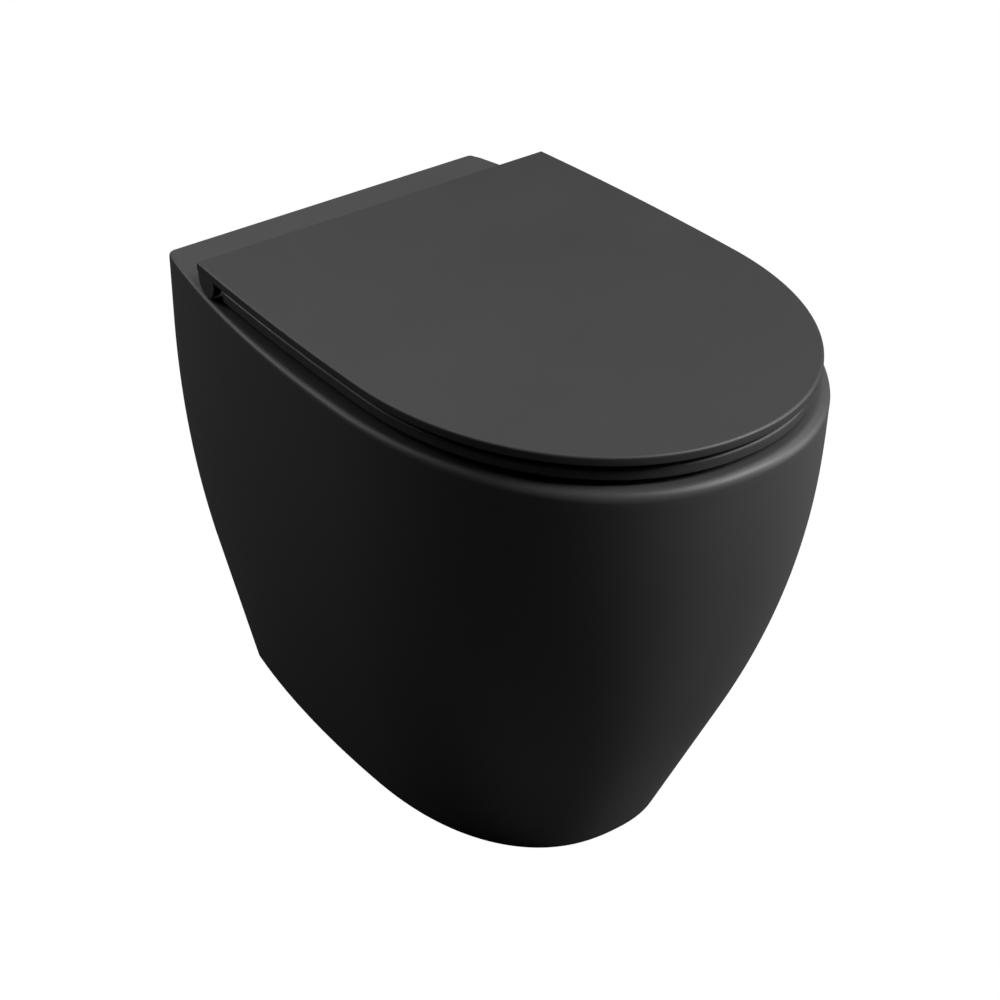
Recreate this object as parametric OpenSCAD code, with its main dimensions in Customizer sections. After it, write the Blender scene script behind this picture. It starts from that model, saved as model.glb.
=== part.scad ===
// Back-to-wall toilet: a floor-standing pan with its seat and lid, in millimetres.
// +Z is up, the front faces -Y, and the origin is on the floor at the wall, on the centre line.
// A distance "from the wall" is measured towards the front, so it is -Y.

/* [Pan outline at the rim] */
// Width across the rim at its widest
pan_width = 373; // [355:1:395]
// From the wall to the front of the rim
pan_reach = 543.5; // [525:0.5:580]
// Floor to the top of the rim
pan_height = 418; // [395:1:450]
// Width of the rim where it meets the wall
pan_wall_width = 305; // [286:1:326]
// From the wall to the widest line of the rim
pan_widest = 288; // [262:1:318]
// Squareness of the front of the rim: 2 is an ellipse
pan_squareness = 2.18; // [2.1:0.01:2.6]

/* [Pan outline at the floor] */
// Width across the foot at its widest
foot_width = 230; // [212:1:256]
// From the wall to the front of the foot
foot_reach = 392; // [360:1:430]
// Width of the foot where it meets the wall
foot_wall_width = 187; // [171:1:199]
// From the wall to the widest line of the foot
foot_widest = 217; // [194:1:240]
// Squareness of the front of the foot
foot_squareness = 2.33; // [2.1:0.01:2.8]

/* [Pan flare] */
// Height up to which the sides lean out at a steady slope
side_lean_height = 134; // [100:1:170]
// Height at which the sides stand upright
side_upright_height = 358; // [320:1:385]
// Height up to which the front leans out at a steady slope
front_lean_height = 125; // [90:1:160]
// Height at which the front would stand upright
front_upright_height = 463; // [420:1:500]

/* [China walls] */
// Thickness of the outer skirt
skirt_wall = 12; // [9:0.5:15]
// Thickness of the deck and the rim
deck_wall = 16; // [13:0.5:20]
// Thickness of the bowl and the trap
bowl_wall = 10; // [7:0.5:12]
// Rounding of the rim at the front
rim_round_front = 8; // [5:0.5:10]
// Rounding of the rim at the wall
rim_round_back = 3; // [2:0.5:5]

/* [Bowl] */
// Width of the flat rim between the outside and the bowl
rim_flat = 49; // [45:1:55]
// From the wall to the back of the bowl at the rim
bowl_start = 172; // [166:1:182]
// Rounding of the bowl's inner edge
bowl_edge_round = 6; // [4:0.5:8]
// Squareness of the bowl in plan
bowl_squareness = 2.3; // [2:0.05:2.8]
// Height of the top of the sump, just above the water line
sump_top = 205; // [199:1:215]
// Width of the sump
sump_width = 96; // [86:1:110]
// From the wall to the back of the sump
sump_start = 208; // [204:1:214]
// Length of the sump
sump_length = 96; // [86:1:106]
// Height of the lowest point of the water way
sump_floor = 91; // [86:1:91]

/* [Trap and outlet] */
// Bore of the trap way
trap_bore = 52; // [48:1:54]
// Radius of the trap's rising bend
rising_bend = 50; // [48:1:52]
// Radius of the bend over the weir
weir_bend = 40; // [38:1:42]
// Length of the trap's rising leg
rising_leg = 30; // [28:1:34]
// Outside diameter of the outlet spigot
spigot_diameter = 102; // [98:0.5:104]
// Bore of the outlet spigot
spigot_bore = 84; // [80:0.5:86]
// Height of the outlet's centre above the floor
spigot_height = 180; // [176:1:184]
// From the wall to the end of the spigot
spigot_setback = 15; // [8:1:20]
// Length of spigot that a connector slides over
spigot_length = 45; // [40:1:46]

/* [Flush inlet] */
// Height of the inlet's centre above the floor
inlet_height = 335; // [325:1:340]
// Bore of the inlet socket
inlet_bore = 55; // [50:0.5:57]
// Depth of the inlet socket
inlet_depth = 35; // [30:1:45]
// From the wall to the mouth of the inlet socket
inlet_setback = 28; // [15:1:36]
// Bore of the flush way behind the socket
flush_bore = 44; // [38:1:46]
// Outside diameter of the inlet horn
horn_diameter = 74; // [70:1:78]

/* [Flush shield in the bowl] */
// Width of the shield that spreads the flush
shield_width = 104; // [84:1:116]
// Height of the shield
shield_height = 60; // [50:1:64]
// Thickness of the shield
shield_wall = 9; // [7:0.5:11]
// Gap behind the shield
shield_gap = 15; // [12:0.5:18]

/* [Floor brackets] */
// Distance between the two floor screws
floor_screw_spacing = 128; // [116:1:134]
// Diameter of a floor screw's hole
floor_screw_hole = 9; // [7:0.5:10]
// From the wall to the screw and the pin of a bracket
bracket_from_wall = 148; // [135:1:165]
// Height of a bracket's pin above the floor
bracket_pin_height = 52; // [48:1:58]
// Diameter of a bracket's pin
bracket_pin_diameter = 12; // [10:0.5:13]
// Thickness of a bracket's plates
bracket_plate = 7; // [5:0.5:8]
// Length of a bracket's foot along the wall-to-front line
bracket_length = 46; // [40:1:54]
// Thickness of the rubber sleeve round a bracket's pin
sleeve_wall = 3; // [2:0.5:4]

/* [Lid outline] */
// Width of the lid at its widest
lid_width = 358; // [340:1:380]
// From the wall to the front of the lid
lid_reach = 538.5; // [515:0.5:570]
// From the wall to the back edge of the lid
lid_setback = 75.5; // [72:0.5:77]
// How much narrower the lid's back edge is than its widest line
lid_taper = 20; // [12:1:30]
// From the wall to the widest line of the lid
lid_widest = 313; // [286:1:340]
// Squareness of the lid's front
lid_squareness = 2.07; // [2.02:0.01:2.4]

/* [Seat and lid heights] */
// Gap under the seat
seat_gap = 5.5; // [4.5:0.1:6.5]
// Thickness of the seat
seat_thickness = 9; // [8:0.1:10]
// Gap between the seat and the lid
lid_gap = 5; // [4.5:0.1:5.5]
// Thickness of the lid
lid_thickness = 7; // [6:0.1:8]
// How far the seat's edge lies inside the lid's edge
seat_inset = 4; // [2:0.1:6]
// Bevel round the lid's top edge
lid_bevel = 2; // [1:0.1:3]
// Rounding of the seat's edges
seat_round = 2.6; // [1.5:0.1:3.2]

/* [Seat opening] */
// Width of the seat's opening
opening_width = 216; // [200:1:232]
// From the wall to the back of the opening
opening_start = 205; // [196:1:216]
// From the wall to the front of the opening
opening_end = 464; // [448:1:474]
// Squareness of the opening
opening_squareness = 2.15; // [2:0.05:2.5]
// From the wall to the back edge of the seat ring
seat_setback = 111; // [104:0.5:114]

/* [Recesses under the seat and the lid] */
// Width of the solid band left round each recess
recess_band = 12; // [9:0.5:16]
// Depth of the recess under the seat
seat_recess = 3; // [1.5:0.1:4]
// Depth of the recess under the lid
lid_recess = 2; // [1:0.1:2.8]

/* [Hinges] */
// Distance between the two seat fixings
hinge_spacing = 155; // [150:1:160]
// From the wall to the hinge axis
hinge_from_wall = 89; // [88.5:0.1:90]
// Height of the hinge axis above the deck
hinge_rise = 15.5; // [15.5:0.1:16]
// Radius of the hinge barrels
barrel_radius = 7.5; // [7:0.1:7.5]
// Width of a hinge block
block_width = 28; // [26:0.5:30]
// Length of each seat and lid barrel
barrel_length = 26; // [22:0.5:28]
// Diameter of the hinge spindle
spindle_diameter = 6; // [5:0.1:6.5]
// Diameter of the damper cartridges
damper_diameter = 11; // [10:0.1:11.4]
// Gap between a barrel and its neighbour
barrel_gap = 0.5; // [0.3:0.1:0.8]
// Running clearance round the spindle
spindle_clearance = 0.05; // [0.03:0.01:0.1]

/* [Hinge fixings] */
// From the hinge axis forward to the fixing's centre
fixing_offset = 24; // [23.6:0.1:26]
// Diameter of the fixing hole in the deck
fixing_hole = 15; // [14:0.1:16]
// Diameter of the fixing's threaded shank
shank_diameter = 6; // [5:0.1:7]
// Length of shank below the deck
shank_length = 44; // [40:1:52]
// Diameter of the fixing's head
stud_head = 10; // [9.4:0.1:10]
// Diameter of the neck that the latch grips
stud_neck = 7; // [6.6:0.1:7.4]
// Diameter of the steel base plate
plate_diameter = 34; // [30:0.5:34]
// Thickness of the steel base plate
plate_thickness = 3; // [2.5:0.1:3.2]
// Thickness of the rubber flange under the base plate
flange_thickness = 1; // [0.8:0.1:1.2]

/* [Release buttons] */
// Diameter of a release button
button_diameter = 7; // [6:0.1:7.4]
// Travel of a release button
button_travel = 2.2; // [2:0.05:2.2]
// Thickness of the latch plate
latch_thickness = 1.4; // [1.2:0.05:1.5]
// Width of the latch plate
latch_width = 15; // [14.6:0.1:15.4]
// Diameter of the button's spring
spring_diameter = 3; // [2.6:0.1:3.2]
// Wire of the button's spring
spring_wire = 0.4; // [0.3:0.05:0.5]
// Turns of the button's spring
spring_turns = 6; // [4:1:8]

/* [Buffers] */
// Diameter of the seat's rubber buffers
seat_buffer_diameter = 20; // [16:0.5:24]
// Diameter of the lid's rubber buffers
lid_buffer_diameter = 14; // [10:0.5:18]
// From the centre line to the rear buffers
rear_buffer_offset = 146; // [142:1:150]
// From the wall to the rear buffers
rear_buffer_from_wall = 205; // [195:1:225]
// From the centre line to the front buffers
front_buffer_offset = 76; // [70:1:84]
// From the wall to the front buffers
front_buffer_from_wall = 496; // [493:1:499]

/* [Hidden] */
$fn = 48;
// Clearance between pieces that move past each other, and between a piece and its seat
clear = 0.3;
// How far a cutting shape runs past the face that it cuts
past = 1;

pan_top = pan_height;
axis_z = pan_top + hinge_rise;
seat_bottom = pan_top + seat_gap;
seat_top = seat_bottom + seat_thickness;
lid_bottom = seat_top + lid_gap;
lid_top = lid_bottom + lid_thickness;
fixing_from_wall = hinge_from_wall + fixing_offset;
lid_back_width = lid_width - lid_taper;

block_half = block_width / 2;
// Inner ends of the seat's outboard barrels and outer ends of the lid's inboard barrels
seat_barrel_start = hinge_spacing / 2 + block_half + barrel_gap;
lid_barrel_end = hinge_spacing / 2 - block_half - barrel_gap;
seat_barrel_end = seat_barrel_start + barrel_length;
barrel_cap = 2.5;
spindle_start = lid_barrel_end - barrel_length + barrel_cap;
spindle_end = seat_barrel_end - barrel_cap;

// Outlines are lists of [x, distance from the wall], from the right back corner round the front to the left.

// Length of the half ellipse that reaches a back width from its widest line
function back_radius(wall_w, w, widest, start) = (widest - start) / sin(acos(wall_w / w));

// Right half of a D: an ellipse behind the widest line and a squarer curve in front of it
function half_outline(wall_w, w, widest, reach, squareness, start, from, back_n, front_n) =
    let (r = back_radius(wall_w, w, widest, start), first = asin((widest - from) / r), power = 2 / squareness)
    concat(
        [for (i = [0 : back_n - 1]) let (a = first * (1 - i / back_n)) [w / 2 * cos(a), widest - r * sin(a)]],
        [for (i = [0 : front_n]) let (a = 90 * i / front_n)
            [w / 2 * pow(cos(a), power), widest + (reach - widest) * pow(sin(a), power)]]
    );

// Whole outline from its right half, whose last point is on the centre line
function mirrored(half) = concat(half, [for (i = [len(half) - 2 : -1 : 0]) [-half[i][0], half[i][1]]]);

// Closed oval that starts at its right side and runs round the front
function oval(w, start, end, squareness, n) =
    let (middle = (start + end) / 2, half = (end - start) / 2, power = 2 / squareness)
    [for (i = [0 : n - 1]) let (a = 360 * i / n, c = cos(a), s = sin(a))
        [w / 2 * sign(c) * pow(abs(c), power), middle + half * sign(s) * pow(abs(s), power)]];

function raised(outline, z) = [for (p = outline) [p[0], -p[1], z]];
function flat_outline(outline) = [for (p = outline) [p[0], -p[1]]];

// Solid through a stack of rings that have the same number of points, lowest ring first
module loft(rings) {
    n = len(rings[0]);
    m = len(rings);
    sides = [for (k = [0 : m - 2]) for (i = [0 : n - 1]) let (j = (i + 1) % n, a = k * n, b = (k + 1) * n)
        each [[a + i, a + j, b + j], [a + i, b + j, b + i]]];
    bottom = [for (i = [n - 1 : -1 : 0]) i];
    top = [for (i = [0 : n - 1]) (m - 1) * n + i];
    polyhedron(points = [for (r = rings) each r], faces = concat(sides, [bottom, top]), convexity = 6);
}

// Cylinder along +X from one x to another
module rod_x(x0, x1, r, from_wall, z) {
    translate([x0, -from_wall, z]) rotate([0, 90, 0]) cylinder(r = r, h = x1 - x0);
}

// Cylinder from one distance from the wall to another
module rod_y(near, far, r, x, z) {
    translate([x, -near, z]) rotate([90, 0, 0]) cylinder(r = r, h = far - near);
}

// Box given by its x range, its range from the wall and its z range
module slab(x, from_wall, z) {
    translate([x[0], -from_wall[1], z[0]]) cube([x[1] - x[0], from_wall[1] - from_wall[0], z[1] - z[0]]);
}

// Copy on the left or the right of the centre line
module on_side(side) {
    if (side > 0) children();
    else mirror([1, 0, 0]) children();
}

// Pan

// How far a wall has leaned out at a height, counted in millimetres of its steady slope
function leaned(z, lean, upright) =
    let (above = min(z, upright) - lean)
    above < 0 ? z : lean + above * (1 - above / (upright - lean) / 2);

// Share of the flare between the floor and the rim that a wall has gained at a height
function flare(z, lean, upright) = leaned(z, lean, upright) / leaned(pan_height, lean, upright);

function between(a, b, share) = a + (b - a) * share;

pan_back_n = 9;
pan_front_n = 16;

// Outline of the outer skirt at a height, drawn in by a margin
function pan_outline(z, margin) =
    let (side = flare(z, side_lean_height, side_upright_height),
         front = flare(z, front_lean_height, front_upright_height))
    half_outline(
        between(foot_wall_width, pan_wall_width, side) - 2 * margin,
        between(foot_width, pan_width, side) - 2 * margin,
        between(foot_widest, pan_widest, front),
        between(foot_reach, pan_reach, front) - margin,
        between(foot_squareness, pan_squareness, z / pan_height),
        0, 0, pan_back_n, pan_front_n
    );

function rim_round(from_wall) = between(rim_round_back, rim_round_front, from_wall / pan_reach);

// Ring of the rounded top edge, at an angle from upright, with a radius that grows towards the front
function rim_ring(angle) =
    let (outer = mirrored(pan_outline(pan_height, 0)),
         inner = mirrored(pan_outline(pan_height, rim_round_front)))
    [for (i = [0 : len(outer) - 1])
        let (r = rim_round(outer[i][1]),
             share = r * (1 - cos(angle)) / rim_round_front,
             p = between(outer[i], inner[i], share))
        [p[0], -p[1], pan_height - r * (1 - sin(angle))]];

skirt_levels = 13;
module outer_shell() {
    top = pan_height - 2 * rim_round_front;
    loft(concat(
        [for (i = [0 : skirt_levels])
            let (z = top * i / skirt_levels) raised(mirrored(pan_outline(z, 0)), z)],
        [for (angle = [0 : 18 : 90]) rim_ring(angle)]
    ));
}

// Space inside the skirt, open at the floor and at the wall
hollow_levels = 8;
module hollow() {
    top = pan_height - deck_wall;
    loft([for (i = [0 : hollow_levels])
        let (z = top * i / hollow_levels, half = pan_outline(z, skirt_wall),
             low = i == 0 ? -past : z)
        raised(mirrored([for (j = [0 : len(half) - 1]) j == 0 ? [half[0][0], -past] : half[j]]), low)]);
}

// Share of the bowl's spread at a height above the sump
bowl_curve = 2.4;
function bowl_spread(z) = 1 - pow(1 - (z - sump_top) / (pan_height - sump_top), bowl_curve);

bowl_n = 44;
bowl_end = pan_reach - rim_flat;
bowl_width = pan_width - 2 * rim_flat;
// Share of the sump's width and length that is left at its floor, and how far its back leans in
sump_floor_share = 0.62;
sump_back_lean = 9;
function bowl_outline(z, grow) =
    let (s = z > sump_top ? bowl_spread(z) : 0,
         deep = z > sump_top ? 0 : (sump_top - z) / (sump_top - sump_floor),
         w = between(between(sump_width, bowl_width, s), sump_floor_share * sump_width, deep),
         start = between(between(sump_start, bowl_start, s), sump_start + sump_back_lean, deep),
         low_end = sump_start + sump_floor_share * sump_length,
         end = between(between(sump_start + sump_length, bowl_end, s), low_end, deep))
    oval(w + 2 * grow, start - grow, end + grow, bowl_squareness, bowl_n);

bowl_levels = 9;
sump_levels = 4;
// Rounding where the sump's walls meet its floor
sump_round = 14;
module bowl_form(grow, top) {
    loft(concat(
        [for (angle = [0 : 30 : 60])
            let (inset = sump_round * (1 - sin(angle)), lift = sump_round * (1 - cos(angle)))
            raised(bowl_outline(sump_floor, grow - inset), sump_floor - grow + lift)],
        [for (i = [1 : sump_levels - 1])
            let (z = between(sump_floor + sump_round, sump_top, i / sump_levels))
            raised(bowl_outline(z, grow), z)],
        [for (i = [0 : bowl_levels])
            let (z = between(sump_top, top, i / bowl_levels)) raised(bowl_outline(z, grow), z)]
    ));
}

// Inside of the bowl, with its rounded edge at the rim
module bowl_inside() {
    r = bowl_edge_round;
    bowl_form(0, pan_height - r);
    loft(concat(
        [raised(bowl_outline(pan_height - r, 0), pan_height - r - past)],
        [for (angle = [0 : 24 : 72])
            raised(bowl_outline(pan_height - r, r * (1 - cos(angle))), pan_height - r * (1 - sin(angle)))],
        [raised(bowl_outline(pan_height - r, r), pan_height + past)]
    ));
}

// Ceramic shield that turns the flush sideways, hung from the back of the bowl by its roof
shield_rise = 8;
shield_face = bowl_start + shield_gap;
module flush_shield() {
    x = [-shield_width / 2, shield_width / 2];
    top = inlet_height + shield_height / 2 + shield_rise;
    slab(x, [shield_face, shield_face + shield_wall], [top - shield_height, top]);
    slab(x, [bowl_start - bowl_wall / 2, shield_face + shield_wall], [top - shield_wall, top]);
}

// Centre line of the trap as [from the wall, height, heading], where heading 0 runs back and 90 runs up
rise_angle = 80;
// How far inside the sump the trap's bore starts, and where it begins to rise
trap_entry_inset = 44;
rise_inset = 17;
trap_entry = [sump_start + trap_entry_inset, sump_floor + trap_bore / 2];
rise_start = [sump_start + rise_inset, trap_entry[1]];
rise_centre = [rise_start[0], rise_start[1] + rising_bend];
rise_end = [rise_centre[0] - rising_bend * sin(rise_angle), rise_centre[1] - rising_bend * cos(rise_angle)];
over_start = [rise_end[0] - rising_leg * cos(rise_angle), rise_end[1] + rising_leg * sin(rise_angle)];
over_centre = [over_start[0] - weir_bend * sin(rise_angle), over_start[1] - weir_bend * cos(rise_angle)];
drop_from_wall = over_centre[0] - weir_bend;
bend_steps = 7;
over_steps = 12;
trap_path = concat(
    [[trap_entry[0], trap_entry[1], 0]],
    [for (i = [0 : bend_steps]) let (a = rise_angle * i / bend_steps)
        [rise_centre[0] - rising_bend * sin(a), rise_centre[1] - rising_bend * cos(a), a]],
    [for (i = [0 : over_steps]) let (a = rise_angle - (rise_angle + 90) * i / over_steps)
        [over_centre[0] + weir_bend * sin(a), over_centre[1] + weir_bend * cos(a), a]],
    [[drop_from_wall, spigot_height, -90]]
);

// Tube of a radius swept along the trap's centre line
trap_sides = 24;
module trap_tube(r) {
    loft([for (p = trap_path) [for (i = [0 : trap_sides - 1])
        let (a = -360 * i / trap_sides, out = r * cos(a))
        [r * sin(a), -(p[0] + out * sin(p[2])), p[1] + out * cos(p[2])]]]);
}

spigot_end = spigot_setback + spigot_length;
chamber_shortening = 10;
chamber_end = drop_from_wall + spigot_bore / 2 - chamber_shortening;
chamber_relief = 2;
module outlet_body() {
    rod_y(spigot_setback, spigot_end, spigot_diameter / 2, 0, spigot_height);
    rod_y(spigot_end - past, chamber_end + bowl_wall, spigot_diameter / 2 - chamber_relief, 0, spigot_height);
}

horn_end = bowl_start + bowl_wall;
rib_wall = 12;
module inlet_body() {
    rod_y(inlet_setback, horn_end, horn_diameter / 2, 0, inlet_height);
    rib = [-rib_wall / 2, rib_wall / 2];
    // Rib that ties the horn to the underside of the deck
    slab(rib, [inlet_setback + rib_wall, bowl_start], [inlet_height, pan_height - deck_wall / 2]);
    // Rib that ties the trap to the horn
    slab(rib, [over_centre[0] - rib_wall, horn_end], [spigot_height, inlet_height]);
}

// Lugs inside the skirt, each with a slot that is open to the back and takes a bracket's pin
sleeve_radius = bracket_pin_diameter / 2 + sleeve_wall;
slot_radius = sleeve_radius + clear;
lug_offset = 18;
lug_inner = floor_screw_spacing / 2 + lug_offset;
lug_frame = 10;
lug_depth = 22;
module lug() {
    difference() {
        slab(
            [lug_inner, pan_width / 2],
            [bracket_from_wall - slot_radius - lug_frame, bracket_from_wall + slot_radius + lug_frame],
            [bracket_pin_height - slot_radius - lug_frame, bracket_pin_height + slot_radius + lug_frame]
        );
        bracket_slot();
    }
}

module bracket_slot() {
    rod_x(lug_inner - past, lug_inner + lug_depth, slot_radius, bracket_from_wall, bracket_pin_height);
    slab(
        [lug_inner - past, lug_inner + lug_depth],
        [bracket_from_wall - slot_radius - lug_frame - past, bracket_from_wall],
        [bracket_pin_height - slot_radius, bracket_pin_height + slot_radius]
    );
}

module fixing_hole_at(side) {
    translate([side * hinge_spacing / 2, -fixing_from_wall, pan_top - deck_wall - past])
        cylinder(d = fixing_hole, h = deck_wall + 2 * past);
}

module pan() {
    color("#2b2b2d")
    difference() {
        outer_shell();
        difference() {
            hollow();
            bowl_form(bowl_wall, pan_height - deck_wall / 2);
            trap_tube(trap_bore / 2 + bowl_wall);
            outlet_body();
            inlet_body();
            for (side = [-1, 1]) on_side(side) lug();
        }
        difference() {
            bowl_inside();
            flush_shield();
        }
        trap_tube(trap_bore / 2);
        rod_y(spigot_setback - past, chamber_end, spigot_bore / 2, 0, spigot_height);
        rod_y(inlet_setback - past, inlet_setback + inlet_depth, inlet_bore / 2, 0, inlet_height);
        rod_y(inlet_setback + inlet_depth - past, shield_face - past, flush_bore / 2, 0, inlet_height);
        for (side = [-1, 1]) fixing_hole_at(side);
    }
}

// Floor brackets: nylon angles screwed to the floor, hidden inside the skirt

// Play between a bracket and the lug, along the pin
bracket_play = 2;
bracket_upright = lug_inner - bracket_plate - bracket_play;
pin_end = lug_inner + lug_depth - bracket_play;
// From the screw's centre to the edge of the bracket's foot
screw_edge = 14;
module floor_bracket(side) {
    color("#d8d8d4")
    on_side(side) {
        half = bracket_length / 2;
        near = bracket_from_wall - half;
        far = bracket_from_wall + half;
        difference() {
            slab(
                [floor_screw_spacing / 2 - screw_edge, bracket_upright + bracket_plate],
                [near, far],
                [0, bracket_plate]
            );
            translate([floor_screw_spacing / 2, -bracket_from_wall, -past])
                cylinder(d = floor_screw_hole, h = bracket_plate + 2 * past);
        }
        slab(
            [bracket_upright, bracket_upright + bracket_plate],
            [bracket_from_wall - slot_radius, bracket_from_wall + slot_radius],
            [bracket_plate, bracket_pin_height + slot_radius]
        );
        rod_x(
            bracket_upright + bracket_plate, pin_end, bracket_pin_diameter / 2,
            bracket_from_wall, bracket_pin_height
        );
    }
}

module bracket_sleeve(side) {
    color("#1f1f1f")
    on_side(side)
    difference() {
        rod_x(lug_inner, pin_end - past, sleeve_radius, bracket_from_wall, bracket_pin_height);
        rod_x(
            lug_inner - past, pin_end, bracket_pin_diameter / 2 + spindle_clearance,
            bracket_from_wall, bracket_pin_height
        );
    }
}

// Seat fixings: each stud is tightened from above and spreads a rubber bush under the deck

plate_bottom = pan_top + flange_thickness;
plate_top = plate_bottom + plate_thickness;
bush_below_deck = 12;
bush_length = deck_wall + bush_below_deck;
flange_margin = 1;
cone_height = 12;
cone_play = 0.5;
cone_radius = fixing_hole / 2 - cone_play;
cone_taper = 2;
bush_bore = shank_diameter + 2 * spindle_clearance;

module at_fixing(side) {
    translate([side * hinge_spacing / 2, -fixing_from_wall, 0]) children();
}

module expansion_bush(side) {
    color("#202020")
    at_fixing(side)
    difference() {
        union() {
            translate([0, 0, pan_top]) cylinder(d = plate_diameter - 2 * flange_margin, h = flange_thickness);
            translate([0, 0, pan_top - bush_length])
                cylinder(d = fixing_hole - 2 * spindle_clearance, h = bush_length + flange_thickness / 2);
        }
        translate([0, 0, pan_top - bush_length - past]) cylinder(d = bush_bore, h = bush_length + 3 * past);
    }
}

module cone_nut(side) {
    color("#b79a5b")
    at_fixing(side)
    difference() {
        translate([0, 0, pan_top - bush_length - cone_height])
            cylinder(r1 = cone_radius, r2 = cone_radius - cone_taper, h = cone_height);
        translate([0, 0, pan_top - bush_length - cone_height - past])
            cylinder(d = bush_bore, h = cone_height + 2 * past);
    }
}

module base_plate(side) {
    color("#c9cbcd")
    at_fixing(side)
    difference() {
        translate([0, 0, plate_bottom]) cylinder(d = plate_diameter, h = plate_thickness);
        translate([0, 0, plate_bottom - past]) cylinder(d = bush_bore, h = plate_thickness + 2 * past);
    }
}

collar_height = 1.2;
neck_height = latch_thickness + 2 * clear;
head_height = 2.2;
head_taper = 0.8;
head_bottom = plate_top + collar_height + neck_height;
stud_top = head_bottom + head_height;
module fixing_stud(side) {
    color("#b9bcc0")
    at_fixing(side) {
        translate([0, 0, pan_top - shank_length])
            cylinder(d = shank_diameter, h = shank_length + plate_top - pan_top);
        translate([0, 0, plate_top]) cylinder(d = stud_head, h = collar_height);
        translate([0, 0, plate_top]) cylinder(d = stud_neck, h = collar_height + neck_height + past);
        translate([0, 0, head_bottom])
            cylinder(d1 = stud_head, d2 = stud_head - 2 * head_taper, h = head_height);
    }
}

// Hinge blocks: castings that clip down over the studs and carry the spindle behind them

block_back = hinge_from_wall - barrel_radius;
foot_roof = 0.7;
foot_top = stud_top + clear + foot_roof;
latch_bottom = plate_top + collar_height + clear;
latch_strip = 1.4;
latch_play = 0.7;
latch_hole = stud_head / 2 + latch_play;
latch_offset = latch_hole - (stud_neck / 2 + clear);
latch_back = fixing_from_wall + latch_offset - latch_hole - latch_strip;
latch_room = latch_back - button_travel - clear;
// Running clearance of the latch plate and of the button in the block
latch_clear = 0.2;
button_z = plate_top + clear + button_diameter / 2;
button_back = fixing_from_wall + stud_head / 2 + button_travel + clear;
button_length = 9.5;
foot_wall = 1;
foot_back = latch_room - foot_wall;
block_front = button_back + button_length;
// The spring stands beside the latch plate, between the block and the plate's tab
spring_length = 8;
spring_gap = 1.2;
spring_offset = 1;
spring_x = latch_width / 2 + spring_diameter / 2 + spring_gap;
spring_back = fixing_from_wall + spring_offset;
spring_front = spring_back + spring_length;
spring_z = latch_bottom + latch_thickness / 2;
tab_margin = 0.5;
tab_width = spring_diameter + 2 * tab_margin;
tab_length = 2.5;
// The arm stays inside the circle that the lid's roof swings through
arm_relief = 1.2;
arm_low = barrel_radius - arm_relief;
arm_high = 5;
nose_rise = 2.2;
nose_slope = 1.5;

// Side profile of a block as [from the hinge axis towards the wall, height]
block_profile = [
    [0, axis_z + arm_high],
    [0, axis_z - arm_low],
    [hinge_from_wall - foot_back, axis_z - arm_low],
    [hinge_from_wall - foot_back, plate_top],
    [hinge_from_wall - block_front, plate_top],
    [hinge_from_wall - block_front, foot_top + nose_rise],
    [hinge_from_wall - block_front + button_length, foot_top + nose_rise + nose_slope]
];

module hinge_block(side) {
    color("#c4c6c9")
    translate([side * hinge_spacing / 2, 0, 0])
    difference() {
        union() {
            rod_x(-block_half, block_half, barrel_radius, hinge_from_wall, axis_z);
            translate([-block_half, -hinge_from_wall, 0])
                rotate([90, 0, 90]) linear_extrude(block_width) polygon(block_profile);
        }
        // Socket for the stud
        translate([0, -fixing_from_wall, plate_top - past])
            cylinder(d = stud_head + 2 * clear, h = stud_top + clear - plate_top + past);
        // Bore for the button
        rod_y(
            button_back - button_travel - clear, block_front + past, button_diameter / 2 + latch_clear,
            0, button_z
        );
        // Slot for the latch plate
        slab(
            [-latch_width / 2 - clear, latch_width / 2 + clear],
            [latch_room, block_front + past],
            [latch_bottom - latch_clear, latch_bottom + latch_thickness + latch_clear]
        );
        on_side(side) latch_tab_space();
        rod_x(-block_width, block_width, spindle_diameter / 2 + spindle_clearance, hinge_from_wall, axis_z);
    }
}

// Play at each end of the spring
spring_seat = 0.05;
module latch_tab_space() {
    slab(
        [latch_width / 2 - past, spring_x + tab_width / 2 + clear],
        [spring_front - button_travel - clear, block_front + past],
        [latch_bottom - latch_clear, latch_bottom + latch_thickness + latch_clear]
    );
    rod_y(spring_back - spring_seat, spring_front, spring_diameter / 2 + latch_clear, spring_x, spring_z);
}

module hinge_spindle(side) {
    color("#aeb1b5")
    on_side(side) rod_x(spindle_start, spindle_end, spindle_diameter / 2, hinge_from_wall, axis_z);
}

// Release buttons: with the seat up, pushed towards the wall to free the latch from the stud

latch_start = 1;
module release_button(side) {
    color("#2a2a2c")
    translate([side * hinge_spacing / 2, 0, 0]) {
        rod_y(button_back, block_front, button_diameter / 2, 0, button_z);
        difference() {
            slab(
                [-latch_width / 2, latch_width / 2],
                [latch_back, block_front - latch_start],
                [latch_bottom, latch_bottom + latch_thickness]
            );
            translate([0, -(fixing_from_wall + latch_offset), latch_bottom - past])
                cylinder(r = latch_hole, h = latch_thickness + 2 * past);
        }
        on_side(side) slab(
            [latch_width / 2 - past, spring_x + tab_width / 2],
            [spring_front, spring_front + tab_length],
            [latch_bottom, latch_bottom + latch_thickness]
        );
    }
}

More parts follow.
